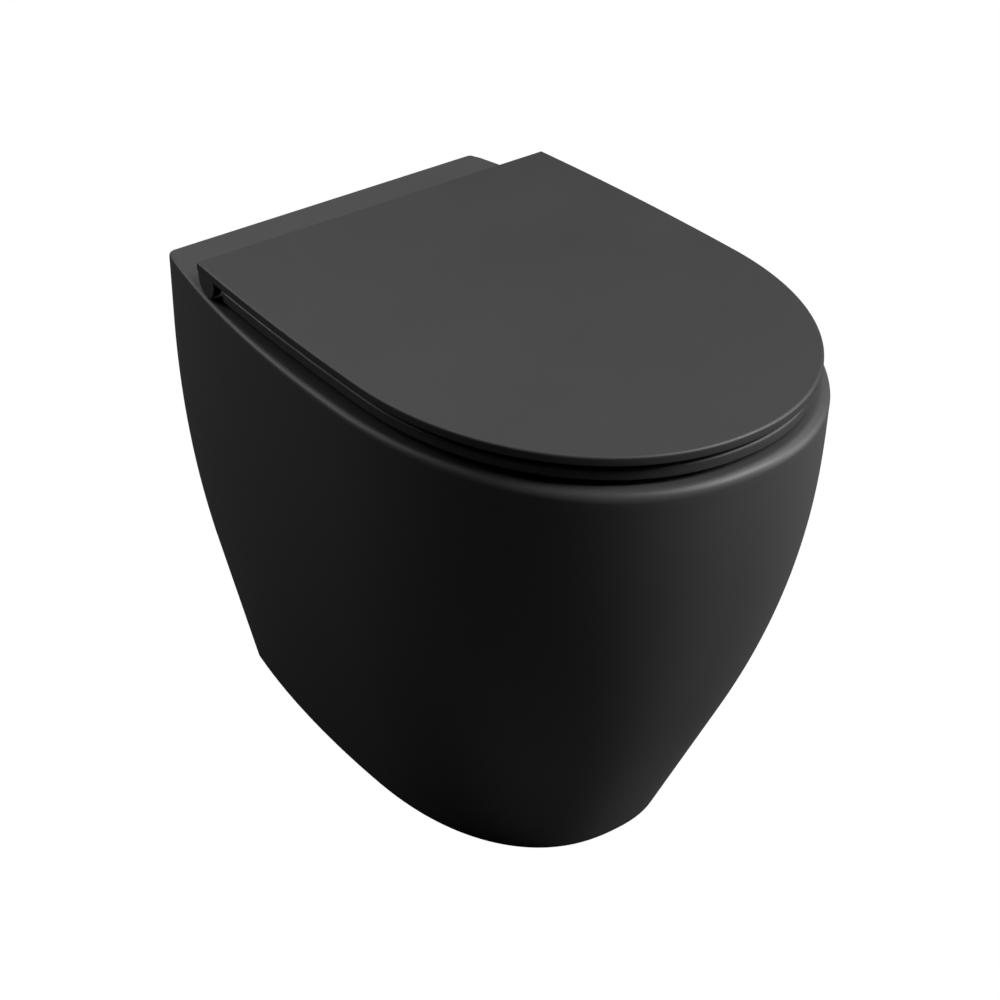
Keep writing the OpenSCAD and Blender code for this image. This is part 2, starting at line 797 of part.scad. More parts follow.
// Round wire wound along the button's travel
spring_rings = 8;
wire_sides = 6;
module button_spring(side) {
    color("#b4b7bb")
    translate([side * (hinge_spacing / 2 + spring_x), 0, spring_z]) {
        radius = (spring_diameter - spring_wire) / 2;
        coil_back = spring_back + spring_wire / 2;
        coil_front = spring_front - spring_wire / 2 - spring_seat;
        count = spring_turns * spring_rings;
        loft([for (k = [0 : count])
            let (turn = 360 * k / spring_rings, along = between(coil_back, coil_front, k / count))
            [for (i = [0 : wire_sides - 1])
                let (a = -360 * i / wire_sides, out = radius + spring_wire / 2 * cos(a))
                [out * cos(turn), -along + spring_wire / 2 * sin(a), out * sin(turn)]]]);
    }
}

// Seat

d_back_n = 8;
d_front_n = 22;

// Outline of the lid drawn in by a margin, from a distance from the wall to the front
function lid_outline(margin, from) = mirrored(half_outline(
    lid_back_width - 2 * margin, lid_width - 2 * margin, lid_widest, lid_reach - margin,
    lid_squareness, lid_setback, from, d_back_n, d_front_n
));

opening_n = 52;
function opening_outline(grow) =
    oval(opening_width + 2 * grow, opening_start - grow, opening_end + grow, opening_squareness, opening_n);

// Edge rounding as [inset, height] pairs for a plate, bottom first
function edge(bottom, top, low_r, high_r) = concat(
    [for (a = [0 : 30 : 90]) [low_r * (1 - sin(a)), bottom + low_r * (1 - cos(a))]],
    [for (a = [0 : 22.5 : 90]) [high_r * (1 - cos(a)), top - high_r * (1 - sin(a))]]
);

seat_low_round = 1;
// Notches in the seat's back edge, round the hinge blocks
seat_notch = [lid_barrel_end, seat_barrel_start];
seat_notch_front = block_front + 2 * barrel_gap;
module seat_plate() {
    difference() {
        loft([for (e = edge(seat_bottom, seat_top, seat_low_round, seat_round))
            raised(lid_outline(seat_inset + e[0], seat_setback + e[0]), e[1])]);
        loft(concat(
            [raised(opening_outline(seat_low_round), seat_bottom - past)],
            [for (e = edge(seat_bottom, seat_top, seat_low_round, seat_round))
                raised(opening_outline(e[0]), e[1])],
            [raised(opening_outline(seat_round), seat_top + past)]
        ));
        for (side = [-1, 1]) on_side(side)
            slab(seat_notch, [seat_setback - past, seat_notch_front], [seat_bottom - past, seat_top + past]);
    }
}

module at_buffers() {
    for (side = [-1, 1]) {
        translate([side * rear_buffer_offset, -rear_buffer_from_wall, 0]) children();
        translate([side * front_buffer_offset, -front_buffer_from_wall, 0]) children();
    }
}

boss_margin = 2;
seat_boss = seat_buffer_diameter + 2 * boss_margin;
stem_diameter = 6;
seat_stem = 4;
module seat_underside() {
    difference() {
        translate([0, 0, seat_bottom - past]) linear_extrude(seat_recess + past) difference() {
            polygon(flat_outline(lid_outline(seat_inset + recess_band, seat_setback + recess_band)));
            polygon(flat_outline(opening_outline(recess_band)));
            for (side = [-1, 1]) on_side(side)
                translate([seat_notch[0] - recess_band, -seat_notch_front - recess_band])
                    square([seat_notch[1] - seat_notch[0] + 2 * recess_band, seat_notch_front]);
        }
        translate([0, 0, seat_bottom - 2 * past]) at_buffers()
            cylinder(d = seat_boss, h = seat_recess + 3 * past);
    }
}

// Bores in the seat's two barrels: the damper sits on the left and a plain bush on the right
module barrel_bore(x0, x1) {
    rod_x(x0, x1, damper_diameter / 2 + spindle_clearance, hinge_from_wall, axis_z);
}

module seat_ring() {
    color("#303032")
    difference() {
        union() {
            seat_plate();
            for (side = [-1, 1]) on_side(side) {
                rod_x(seat_barrel_start, seat_barrel_end, barrel_radius, hinge_from_wall, axis_z);
                slab(
                    [seat_barrel_start, seat_barrel_end],
                    [hinge_from_wall, seat_setback + recess_band / 2],
                    [seat_bottom, seat_top - seat_round / 2]
                );
            }
        }
        seat_underside();
        translate([0, 0, seat_bottom - past]) at_buffers() cylinder(d = stem_diameter, h = seat_stem + past);
        for (side = [-1, 1]) on_side(side) barrel_bore(seat_barrel_start - past, spindle_end + clear);
    }
}

module seat_buffers() {
    color("#252525")
    at_buffers() {
        translate([0, 0, pan_top + clear]) cylinder(d = seat_buffer_diameter, h = seat_gap - clear);
        translate([0, 0, seat_bottom - past])
            cylinder(d = stem_diameter - 2 * spindle_clearance, h = seat_stem + past - clear);
    }
}

// Sleeve in a barrel that runs on the spindle: a damper cartridge or a plain bush
module sleeve(x0, x1) {
    difference() {
        rod_x(x0, x1, damper_diameter / 2, hinge_from_wall, axis_z);
        rod_x(x0 - past, x1 + past, spindle_diameter / 2 + spindle_clearance, hinge_from_wall, axis_z);
    }
}

seat_sleeve = [seat_barrel_start, spindle_end];
lid_sleeve = [spindle_start, lid_barrel_end];
module seat_damper() {
    color("#3a3f46") on_side(-1) sleeve(seat_sleeve[0], seat_sleeve[1]);
}

module seat_hinge_bush() {
    color("#dcdcd6") on_side(1) sleeve(seat_sleeve[0], seat_sleeve[1]);
}

// Lid

ear_drop = 14.5;
ear_straight = 0.5;
ear_wall = 6;
hood_wall = 3;
hood_low = 4;
// How far the hood and its ears stand inside the lid's edge
hood_inset = 0.6;
hood_reach = hinge_from_wall - lid_setback - hood_inset;
ear_steps = 12;

// Profile of the lid's ends, as [towards the wall, up] from the hinge axis
ear_profile = concat(
    [[-hood_reach, lid_bottom - axis_z + past], [hood_reach, lid_bottom - axis_z + past]],
    [for (i = [0 : ear_steps]) let (a = 180 * i / ear_steps)
        [hood_reach * cos(a), ear_straight - ear_drop * sin(a)]]
);

module hood_bar(x0, x1) {
    translate([x0, -hinge_from_wall, axis_z])
        rotate([90, 0, 90]) linear_extrude(x1 - x0) polygon(ear_profile);
}

lid_low_round = 0.4;
module lid_plate() {
    loft([for (e = edge(lid_bottom, lid_top, lid_low_round, lid_bevel))
        raised(lid_outline(e[0], lid_setback + e[0]), e[1])]);
}

block_space = [lid_barrel_end + barrel_gap / 2, seat_barrel_end + barrel_gap];
notch_play = 1.5;
notch_half = plate_diameter / 2 + notch_play;
notch = [hinge_spacing / 2 - notch_half, hinge_spacing / 2 + notch_half];
roof_play = 0.5;
pocket_roof = barrel_radius + roof_play;
pocket_front = hinge_from_wall + barrel_radius + notch_play;
underside_gap = 2;
lid_underside_start = hinge_from_wall + hood_reach + underside_gap;

// Hollow of the hood between the two ears, and the space under its back wall
module hood_hollow() {
    inner = lid_back_width / 2 - ear_wall;
    front = hinge_from_wall + hood_reach + past;
    low = axis_z - ear_drop - past;
    slab([-inner, inner], [lid_setback + hood_wall, front], [low, lid_bottom]);
    slab([-inner, inner], [lid_setback - past, front], [low, axis_z - hood_low]);
}

// Room for the barrels and the block, and the opening in the back wall that swings down past the block
module hood_pockets() {
    roof = axis_z + pocket_roof;
    slab(block_space, [lid_setback + hood_wall, pocket_front], [lid_bottom - past, roof]);
    slab(notch, [lid_setback - past, hinge_from_wall], [axis_z - ear_drop - past, roof]);
}

module lid() {
    color("#333335")
    difference() {
        union() {
            difference() {
                union() {
                    lid_plate();
                    intersection() {
                        hood_bar(-lid_width / 2, lid_width / 2);
                        translate([0, 0, axis_z - ear_drop - past])
                            linear_extrude(lid_top - axis_z + ear_drop)
                                polygon(flat_outline(lid_outline(hood_inset, lid_setback)));
                    }
                }
                hood_hollow();
                for (side = [-1, 1]) on_side(side) hood_pockets();
            }
            for (side = [-1, 1]) on_side(side)
                rod_x(lid_barrel_end - barrel_length, lid_barrel_end, barrel_radius, hinge_from_wall, axis_z);
        }
        for (side = [-1, 1]) on_side(side) barrel_bore(spindle_start - clear, lid_barrel_end + past);
        lid_underside();
    }
}

lid_boss = lid_buffer_diameter + 2 * boss_margin;
lid_stem = 3;
module lid_underside() {
    difference() {
        translate([0, 0, lid_bottom - past]) linear_extrude(lid_recess + past)
            polygon(flat_outline(lid_outline(recess_band, lid_underside_start + recess_band)));
        translate([0, 0, lid_bottom - 2 * past]) at_buffers()
            cylinder(d = lid_boss, h = lid_recess + 3 * past);
    }
    translate([0, 0, lid_bottom - past]) at_buffers() cylinder(d = stem_diameter, h = lid_stem + past);
}

module lid_buffers() {
    color("#252525")
    at_buffers() {
        translate([0, 0, seat_top + clear]) cylinder(d = lid_buffer_diameter, h = lid_gap - clear);
        translate([0, 0, lid_bottom - past])
            cylinder(d = stem_diameter - 2 * spindle_clearance, h = lid_stem + past - clear);
    }
}

module lid_damper() {
    color("#3a3f46") on_side(1) sleeve(lid_sleeve[0], lid_sleeve[1]);
}

module lid_hinge_bush() {
    color("#dcdcd6") on_side(-1) sleeve(lid_sleeve[0], lid_sleeve[1]);
}

pan();
floor_bracket(-1);  // floor_bracket_left
floor_bracket(1);  // floor_bracket_right
bracket_sleeve(-1);  // bracket_sleeve_left
bracket_sleeve(1);  // bracket_sleeve_right
expansion_bush(-1);  // expansion_bush_left
expansion_bush(1);  // expansion_bush_right
fixing_stud(-1);  // fixing_stud_left
fixing_stud(1);  // fixing_stud_right
cone_nut(-1);  // cone_nut_left
cone_nut(1);  // cone_nut_right
base_plate(-1);  // base_plate_left
base_plate(1);  // base_plate_right
hinge_block(-1);  // hinge_block_left
hinge_block(1);  // hinge_block_right
hinge_spindle(-1);  // hinge_spindle_left
hinge_spindle(1);  // hinge_spindle_right
button_spring(-1);  // button_spring_left
button_spring(1);  // button_spring_right
release_button(-1);  // release_button_left
release_button(1);  // release_button_right
seat_ring();
seat_buffers();
seat_damper();
seat_hinge_bush();
lid();
lid_buffers();
lid_damper();
lid_hinge_bush();
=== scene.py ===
import math

import bmesh
import bpy
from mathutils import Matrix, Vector


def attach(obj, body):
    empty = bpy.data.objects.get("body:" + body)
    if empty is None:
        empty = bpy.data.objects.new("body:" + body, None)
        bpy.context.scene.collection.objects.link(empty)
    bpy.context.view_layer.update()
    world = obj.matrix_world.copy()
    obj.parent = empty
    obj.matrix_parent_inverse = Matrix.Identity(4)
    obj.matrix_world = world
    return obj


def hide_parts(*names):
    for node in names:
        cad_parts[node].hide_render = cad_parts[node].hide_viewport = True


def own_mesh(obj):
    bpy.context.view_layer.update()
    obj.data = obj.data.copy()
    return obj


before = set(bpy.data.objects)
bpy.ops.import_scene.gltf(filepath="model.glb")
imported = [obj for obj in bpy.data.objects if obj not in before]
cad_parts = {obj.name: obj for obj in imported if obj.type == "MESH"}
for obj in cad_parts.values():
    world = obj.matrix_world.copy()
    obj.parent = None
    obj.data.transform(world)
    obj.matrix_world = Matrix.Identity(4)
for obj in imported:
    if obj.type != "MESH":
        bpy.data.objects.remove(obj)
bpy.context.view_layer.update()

# The camera stands where the photographer's did: in front and to the left of the
# toilet, above it, with a long lens. Its place was worked out from the outlines.
camera_place = (-1.1638, -1.8356, 1.4656)
camera_aim = (0.0049, -0.2358, 0.2395)
camera_roll = -0.0109
camera = bpy.data.objects.new("camera", bpy.data.cameras.new("camera"))
camera.data.sensor_width = 36.0
camera.data.lens = 103.47
camera.location = camera_place
camera.rotation_euler = (Vector(camera_aim) - Vector(camera_place)).to_track_quat("-Z", "Y").to_euler()
camera.rotation_euler.rotate_axis("Z", camera_roll)
bpy.context.scene.collection.objects.link(camera)
bpy.context.scene.camera = camera
bpy.context.scene.view_settings.view_transform = "Standard"


# The studio: a white floor that merges with a white background, and six soft lamps. The
# strongest stand in front on the right and above, and two behind draw the left edges.
class Wire:
    """A value in a node tree. Plain arithmetic on it adds Math nodes."""

    def __init__(self, tree, socket):
        self.tree = tree
        self.socket = socket

    def maths(self, operation, *values):
        return self.tree.add("ShaderNodeMath", {"operation": operation}, dict(enumerate(values)))

    def __add__(self, other):
        return self.maths("ADD", self, other)

    def __radd__(self, other):
        return self.maths("ADD", other, self)

    def __sub__(self, other):
        return self.maths("SUBTRACT", self, other)

    def __rsub__(self, other):
        return self.maths("SUBTRACT", other, self)

    def __mul__(self, other):
        return self.maths("MULTIPLY", self, other)

    def __truediv__(self, other):
        return self.maths("DIVIDE", self, other)

    def __pow__(self, other):
        return self.maths("POWER", self, other)

    def __getattr__(self, output):
        """Another output of the node that this wire comes from."""
        return Wire(self.tree, self.socket.node.outputs[output.replace("_", " ").title()])


class Tree:
    """A node tree for a finish or a shape. Each call of add puts one node in it."""

    def __init__(self, tree):
        self.tree = tree

    def add(self, kind, settings=None, sockets=None, output=0):
        node = self.tree.nodes.new(kind)
        for name, value in (settings or {}).items():
            if name == "stops":
                set_stops(node.color_ramp, value)
            else:
                setattr(node, name, value)
        for name, value in (sockets or {}).items():
            for one in value if isinstance(value, list) else [value]:
                if isinstance(one, Wire):
                    self.tree.links.new(one.socket, node.inputs[name])
                else:
                    node.inputs[name].default_value = one
        return Wire(self, node.outputs[output]) if len(node.outputs) else node


def set_stops(ramp, stops):
    while len(ramp.elements) < len(stops):
        ramp.elements.new(0.5)
    for element, (position, value) in zip(ramp.elements, stops):
        element.position = position
        element.color = (value, value, value, 1.0)


def new_finish(name):
    """A material, its tree and its shader node."""
    material = bpy.data.materials.new(name)
    material.use_nodes = True
    tree = Tree(material.node_tree)
    return material, tree, material.node_tree.nodes["Principled BSDF"]


floor_half = 7.0
floor_drop = 0.0006
floor_albedo = 0.07
floor_glow = 1.11
glow_share = 0.9
glossy_share = 0.01
floor_mesh = bpy.data.meshes.new("studio_floor")
floor_mesh.from_pydata(
    [(x * floor_half, y * floor_half, 0) for x, y in ((-1, -1), (1, -1), (1, 1), (-1, 1))], [], [(0, 1, 2, 3)]
)
studio_floor = bpy.data.objects.new("studio_floor", floor_mesh)
studio_floor.location.z = -floor_drop
bpy.context.scene.collection.objects.link(studio_floor)
floor_finish, floor_tree, floor_shader = new_finish("studio_floor_paint")
floor_shader.inputs["Base Color"].default_value = (floor_albedo, floor_albedo, floor_albedo, 1)
floor_shader.inputs["Roughness"].default_value = 0.9
floor_shader.inputs["Specular IOR Level"].default_value = 0.1
floor_light = floor_tree.add("ShaderNodeEmission", None, {"Color": (1, 1, 1, 1), "Strength": floor_glow})
seen = floor_tree.add("ShaderNodeLightPath", None, None, "Is Camera Ray")
glossy = floor_tree.add("ShaderNodeLightPath", None, None, "Is Glossy Ray")
floor_mix = floor_tree.add("ShaderNodeMixShader", None, {
    0: (seen + glossy * glossy_share) * glow_share,
    1: Wire(floor_tree, floor_shader.outputs[0]),
    2: floor_light,
})
floor_tree.tree.links.new(floor_mix.socket, floor_tree.tree.nodes["Material Output"].inputs["Surface"])
floor_mesh.materials.append(floor_finish)

world = bpy.data.worlds.new("studio")
bpy.context.scene.world = world
world.use_nodes = True
sky = Tree(world.node_tree)
background = world.node_tree.nodes["Background"]
seen = sky.add("ShaderNodeLightPath", None, None, "Is Camera Ray")
fill_light = 0.006
sky.tree.links.new((seen * (1 - fill_light) + fill_light).socket, background.inputs["Strength"])
background.inputs["Color"].default_value = (1, 1, 1, 1)


def lamp(name, place, aim, size, power):
    light = bpy.data.lights.new(name, "AREA")
    light.shape = "RECTANGLE"
    light.size, light.size_y = size
    light.energy = power
    holder = bpy.data.objects.new(name, light)
    holder.location = place
    holder.rotation_euler = (Vector(aim) - Vector(place)).to_track_quat("-Z", "Y").to_euler()
    bpy.context.scene.collection.objects.link(holder)


lamp("lamp_rear_over", (0.0, 1.6, 2.4), (0, -0.25, 0.4), (2.4, 1.4), 14)
lamp("lamp_left_rear", (-1.5, 2.6, 1.8), (0, -0.2, 0.3), (1.4, 1.4), 27)
lamp("lamp_top_right", (1.5, -0.3, 2.8), (0, -0.3, 0.4), (1.2, 1.2), 28)
lamp("lamp_top_front", (0.6, -1.7, 2.9), (0, -0.3, 0.4), (1.2, 0.8), 25)
lamp("lamp_right_front", (2.6, -1.8, 0.9), (0, -0.3, 0.3), (1.6, 1.6), 38)
lamp("lamp_front_high", (1.6, -2.2, 2.3), (0, -0.3, 0.4), (0.9, 0.9), 70)


# The pan is one piece of vitreous china, slip-cast in a plaster mould with its skirt,
# bowl, trap and inlet, then sprayed with a matt black glaze and fired. The inside of
# the skirt stays bare clay with some overspray. It stands on the floor, on its foot.
mm = 0.001
pan_height = 418.0
foot = {"wall": 187.0, "width": 230.0, "widest": 217.0, "reach": 392.0, "squareness": 2.33}
rim = {"wall": 305.0, "width": 373.0, "widest": 288.0, "reach": 543.5, "squareness": 2.18}
side_lean, side_upright = 134.0, 358.0
front_lean, front_upright = 125.0, 463.0
skirt_wall = 12.0
deck_wall = 16.0
china_wall = 10.0


def between(a, b, share):
    return a + (b - a) * share


def leaned(z, lean, upright):
    """How far a wall has leaned out at a height, counted in its steady slope."""
    above = min(z, upright) - lean
    return z if above < 0 else lean + above * (1 - above / (upright - lean) / 2)


def flare(z, lean, upright):
    """Share of the flare between the floor and the rim that a wall has gained at a height."""
    return leaned(z, lean, upright) / leaned(pan_height, lean, upright)


def half_d(shape, start, begin, back_steps, front_steps):
    """Right half of a D as (x, from the wall), from its back to the middle of its front."""
    back = (shape["widest"] - start) / math.sin(math.acos(shape["wall"] / shape["width"]))
    first = math.asin((shape["widest"] - begin) / back)
    half = shape["width"] / 2
    points = []
    for step in range(back_steps):
        angle = first * (1 - step / back_steps)
        points.append((half * math.cos(angle), shape["widest"] - back * math.sin(angle)))
    for step in range(front_steps + 1):
        angle = math.pi / 2 * step / front_steps
        power = 2 / shape["squareness"]
        across = max(math.cos(angle), 0.0) ** power
        forward = (shape["reach"] - shape["widest"]) * math.sin(angle) ** power
        points.append((half * across, shape["widest"] + forward))
    points[-1] = (0.0, shape["reach"])
    return points


def mirrored(half):
    return half + [(-x, from_wall) for x, from_wall in reversed(half[:-1])]


def pan_outline(z, margin, back_steps=28, front_steps=64):
    """Outline of the skirt at a height, drawn in by a margin."""
    side = flare(z, side_lean, side_upright)
    front = flare(z, front_lean, front_upright)
    shape = {
        "wall": between(foot["wall"], rim["wall"], side) - 2 * margin,
        "width": between(foot["width"], rim["width"], side) - 2 * margin,
        "widest": between(foot["widest"], rim["widest"], front),
        "reach": between(foot["reach"], rim["reach"], front) - margin,
        "squareness": between(foot["squareness"], rim["squareness"], z / pan_height),
    }
    return mirrored(half_d(shape, 0, 0, back_steps, front_steps))


def ring(outline, z):
    return [Vector((x, -from_wall, z)) * mm for x, from_wall in outline]


def loft(name, rings, finish):
    """Closed skin through rings of the same number of points, the lowest first."""
    mesh = bpy.data.meshes.new(name)
    count = len(rings[0])
    points = [point for one in rings for point in one]
    faces = []
    for level in range(len(rings) - 1):
        low, high = level * count, (level + 1) * count
        for i in range(count):
            j = (i + 1) % count
            faces.append((low + i, low + j, high + j, high + i))
    faces.append(tuple(range(count - 1, -1, -1)))
    faces.append(tuple((len(rings) - 1) * count + i for i in range(count)))
    mesh.from_pydata(points, [], faces)
    made = bmesh.new()
    made.from_mesh(mesh)
    bmesh.ops.remove_doubles(made, verts=made.verts, dist=1e-6)
    bmesh.ops.recalc_face_normals(made, faces=made.faces)
    made.to_mesh(mesh)
    made.free()
    mesh.materials.append(finish)
    return new_object(name, mesh)


def new_object(name, mesh):
    made = bpy.data.objects.new(name, mesh)
    bpy.context.scene.collection.objects.link(made)
    return made


def combine(target, tools, operation):
    """Joins tools to a solid, or cuts them out of it, and returns it as a plain mesh."""
    for tool in tools:
        step = target.modifiers.new("step", "BOOLEAN")
        step.operation = operation
        step.solver = "EXACT"
        step.material_mode = "TRANSFER"
        step.object = tool
    made_plain(target)
    for tool in tools:
        bpy.data.objects.remove(tool)
    return target


def made_plain(target):
    bpy.context.view_layer.update()
    result = bpy.data.meshes.new_from_object(target.evaluated_get(bpy.context.evaluated_depsgraph_get()))
    target.modifiers.clear()
    old = target.data
    target.data = result
    bpy.data.meshes.remove(old)
    result.name = target.name


def rod(name, start, end, radius, finish, sides=72):
    """Cylinder between two points given as (x, from the wall, z)."""
    a, b = (Vector((x, -from_wall, z)) * mm for x, from_wall, z in (start, end))
    axis = (b - a).normalized()
    side = axis.orthogonal().normalized()
    other = axis.cross(side)
    turn = [math.tau * i / sides for i in range(sides)]
    rings = [[p + (side * math.cos(t) + other * math.sin(t)) * radius * mm for t in turn] for p in (a, b)]
    return loft(name, rings, finish)


def block(name, x, from_wall, z, finish):
    corners = [(x[0], from_wall[0]), (x[1], from_wall[0]), (x[1], from_wall[1]), (x[0], from_wall[1])]
    return loft(name, [ring(corners, z[0]), ring(corners, z[1])], finish)


def shade(piece, crease=32.0, flat_area=3e-4):
    """Smooth shading, with creases at sharp edges and round large flat faces."""
    made = bmesh.new()
    made.from_mesh(piece.data)
    for face in made.faces:
        face.smooth = True
    for edge in made.edges:
        flat = any(len(face.verts) > 4 and face.calc_area() > flat_area for face in edge.link_faces)
        turned = len(edge.link_faces) == 2 and edge.calc_face_angle(0) > math.radians(crease)
        edge.smooth = not (turned or flat or len(edge.link_faces) != 2)
    made.to_mesh(piece.data)
    made.free()


def feed(tree, shader, **wires):
    for name, wire in wires.items():
        tree.tree.links.new(wire.socket, shader.inputs[name.replace("_", " ")])


def noise(tree, place, scale, detail, roughness=0.5):
    return tree.add(
        "ShaderNodeTexNoise", None,
        {"Vector": place, "Scale": scale, "Detail": detail, "Roughness": roughness}
    )


def object_place(tree):
    return tree.add("ShaderNodeTexCoord", None, None, "Object")


def blend_colours(tree, share, first, second):
    return tree.add(
        "ShaderNodeMix", {"data_type": "RGBA"}, {"Factor": share, 6: (*first, 1.0), 7: (*second, 1.0)}, 2
    )


def bump(tree, height, distance, strength):
    return tree.add("ShaderNodeBump", None, {"Height": height, "Distance": distance, "Strength": strength})


def glaze_finish():
    material, tree, shader = new_finish("matt_black_glaze")
    place = object_place(tree)
    cloud = noise(tree, place, 9.0, 3.0)
    peel = noise(tree, place, 330.0, 2.0)
    dust = noise(tree, place, 1700.0, 1.0)
    feed(
        tree, shader,
        Base_Color=blend_colours(tree, cloud, (0.051, 0.051, 0.052), (0.060, 0.060, 0.061)),
        Roughness=0.4 + cloud * 0.08 + dust * 0.06,
        Normal=bump(tree, peel + dust * 0.4, 0.00006, 0.5),
    )
    shader.inputs["Specular IOR Level"].default_value = 0.45
    return material


def bare_clay_finish():
    material, tree, shader = new_finish("bare_clay")
    place = object_place(tree)
    cloud = noise(tree, place, 14.0, 4.0)
    grain = noise(tree, place, 900.0, 3.0)
    spray = noise(tree, place, 420.0, 6.0, 0.8)
    speck = tree.add("ShaderNodeValToRGB", {"stops": [(0.60, 0.0), (0.68, 1.0)]}, {"Fac": spray})
    height = tree.add("ShaderNodeSeparateXYZ", None, {0: place}, "Z")
    pale = blend_colours(tree, cloud, (0.62, 0.59, 0.54), (0.76, 0.74, 0.70))
    mix = tree.add(
        "ShaderNodeMix", {"data_type": "RGBA"},
        {"Factor": speck * (0.35 + height * 0.8), 6: pale, 7: (0.05, 0.05, 0.05, 1.0)}, 2
    )
    feed(
        tree, shader,
        Base_Color=mix,
        Roughness=0.78 + grain * 0.18,
        Normal=bump(tree, grain, 0.0002, 0.6),
    )
    return material


glaze = glaze_finish()
bare_clay = bare_clay_finish()

# The outside has a small round at the floor and at the back corners, and a soft one at the rim
foot_round, foot_levels = 1.5, 4
corner_round, corner_steps = 3.5, 5
rim_round_back, rim_round_front, rim_levels = 3.0, 8.0, 10
skirt_levels = 72


def outside(z, margin):
    """Outline of the skirt at a height, with its two back corners rounded."""
    outline = pan_outline(z, margin)
    turns = [math.pi / 2 * step / corner_steps for step in range(corner_steps + 1)]
    arc = [
        (outline[0][0] - corner_round * (1 - math.sin(turn)), corner_round * (1 - math.cos(turn)))
        for turn in turns
    ]
    return arc + outline[1:-1] + [(-x, from_wall) for x, from_wall in reversed(arc)]


def rim_ring(angle):
    outer = outside(pan_height, 0)
    inner = outside(pan_height, rim_round_front)
    points = []
    for a, b in zip(outer, inner):
        r = between(rim_round_back, rim_round_front, a[1] / rim["reach"])
        share = r * (1 - math.cos(angle)) / rim_round_front
        x, from_wall = between(a[0], b[0], share), between(a[1], b[1], share)
        points.append(Vector((x, -from_wall, pan_height - r * (1 - math.sin(angle)))) * mm)
    return points


def outer_shell():
    rings = []
    for step in range(foot_levels):
        angle = math.pi / 2 * step / foot_levels
        inset, height = foot_round * (1 - math.sin(angle)), foot_round * (1 - math.cos(angle))
        rings.append(ring(outside(0, inset), height))
    top = pan_height - 2 * rim_round_front
    for step in range(skirt_levels + 1):
        z = between(foot_round, top, step / skirt_levels)
        rings.append(ring(outside(z, 0), z))
    for step in range(rim_levels + 1):
        rings.append(rim_ring(math.pi / 2 * step / rim_levels))
    return loft("pan_piece", rings, glaze)


# A cutting tool runs this far past the surface that it cuts through
past = 1.0


def skirt_space():
    levels = 24
    top = pan_height - deck_wall
    rings = []
    for step in range(levels + 1):
        z = top * step / levels
        outline = pan_outline(z, skirt_wall, 12, 32)
        outline[0] = (outline[0][0], -past)
        outline[-1] = (outline[-1][0], -past)
        rings.append(ring(outline, -past if step == 0 else z))
    return loft("skirt_space", rings, bare_clay)


# The bowl runs down in one curve to the sump, whose back opens into the trap
bowl_start, bowl_end, bowl_width = 172.0, 494.5, 275.0
sump_start, sump_length, sump_width = 208.0, 96.0, 96.0
sump_top, sump_floor, sump_round = 205.0, 91.0, 14.0
sump_floor_share, sump_back_lean = 0.62, 9.0
bowl_squareness, bowl_curve = 2.3, 2.4
bowl_edge, bowl_edge_turn = 6.0, math.radians(84)


def oval(width, start, end, squareness, count):
    points = []
    for i in range(count):
        angle = math.tau * i / count
        c, s = math.cos(angle), math.sin(angle)
        x = width / 2 * math.copysign(abs(c) ** (2 / squareness), c)
        from_wall = (start + end) / 2 + (end - start) / 2 * math.copysign(abs(s) ** (2 / squareness), s)
        points.append((x, from_wall))
    return points


def bowl_outline(z, grow):
    count = 96
    spread = 1 - (1 - (z - sump_top) / (pan_height - sump_top)) ** bowl_curve if z > sump_top else 0.0
    deep = 0.0 if z > sump_top else (sump_top - z) / (sump_top - sump_floor)
    width = between(between(sump_width, bowl_width, spread), sump_floor_share * sump_width, deep)
    start = between(between(sump_start, bowl_start, spread), sump_start + sump_back_lean, deep)
    low_end = sump_start + sump_floor_share * sump_length
    end = between(between(sump_start + sump_length, bowl_end, spread), low_end, deep)
    return oval(width + 2 * grow, start - grow, end + grow, bowl_squareness, count)


def bowl_rings(grow, top, levels):
    round_levels, sump_levels = 6, 12
    rings = []
    for step in range(round_levels):
        angle = math.pi / 2 * step / round_levels
        inset, lift = sump_round * (1 - math.sin(angle)), sump_round * (1 - math.cos(angle))
        rings.append(ring(bowl_outline(sump_floor, grow - inset), sump_floor - grow + lift))
    for step in range(1, sump_levels):
        z = between(sump_floor + sump_round, sump_top, step / sump_levels)
        rings.append(ring(bowl_outline(z, grow), z))
    for step in range(levels + 1):
        z = between(sump_top, top, step / levels)
        rings.append(ring(bowl_outline(z, grow), z))
    return rings


def bowl_space():
    edge_start = pan_height - bowl_edge
    edge_levels = 8
    rings = bowl_rings(0, edge_start, 40)
    for step in range(1, edge_levels + 1):
        angle = bowl_edge_turn * step / edge_levels
        z = pan_height - bowl_edge * (1 - math.sin(angle))
        rings.append(ring(bowl_outline(edge_start, bowl_edge * (1 - math.cos(angle))), z))
    rings.append(ring(bowl_outline(edge_start, bowl_edge), pan_height + past))
    return loft("bowl_space", rings, glaze)


# The trap rises behind the sump, passes over the weir and drops into the outlet
trap_bore = 52.0
trap_entry_inset, rise_inset = 44.0, 17.0
rising_bend, weir_bend, rising_leg = 50.0, 40.0, 30.0
rise_angle = math.radians(80)
rising_steps, weir_steps = 16, 28
spigot_height = 180.0


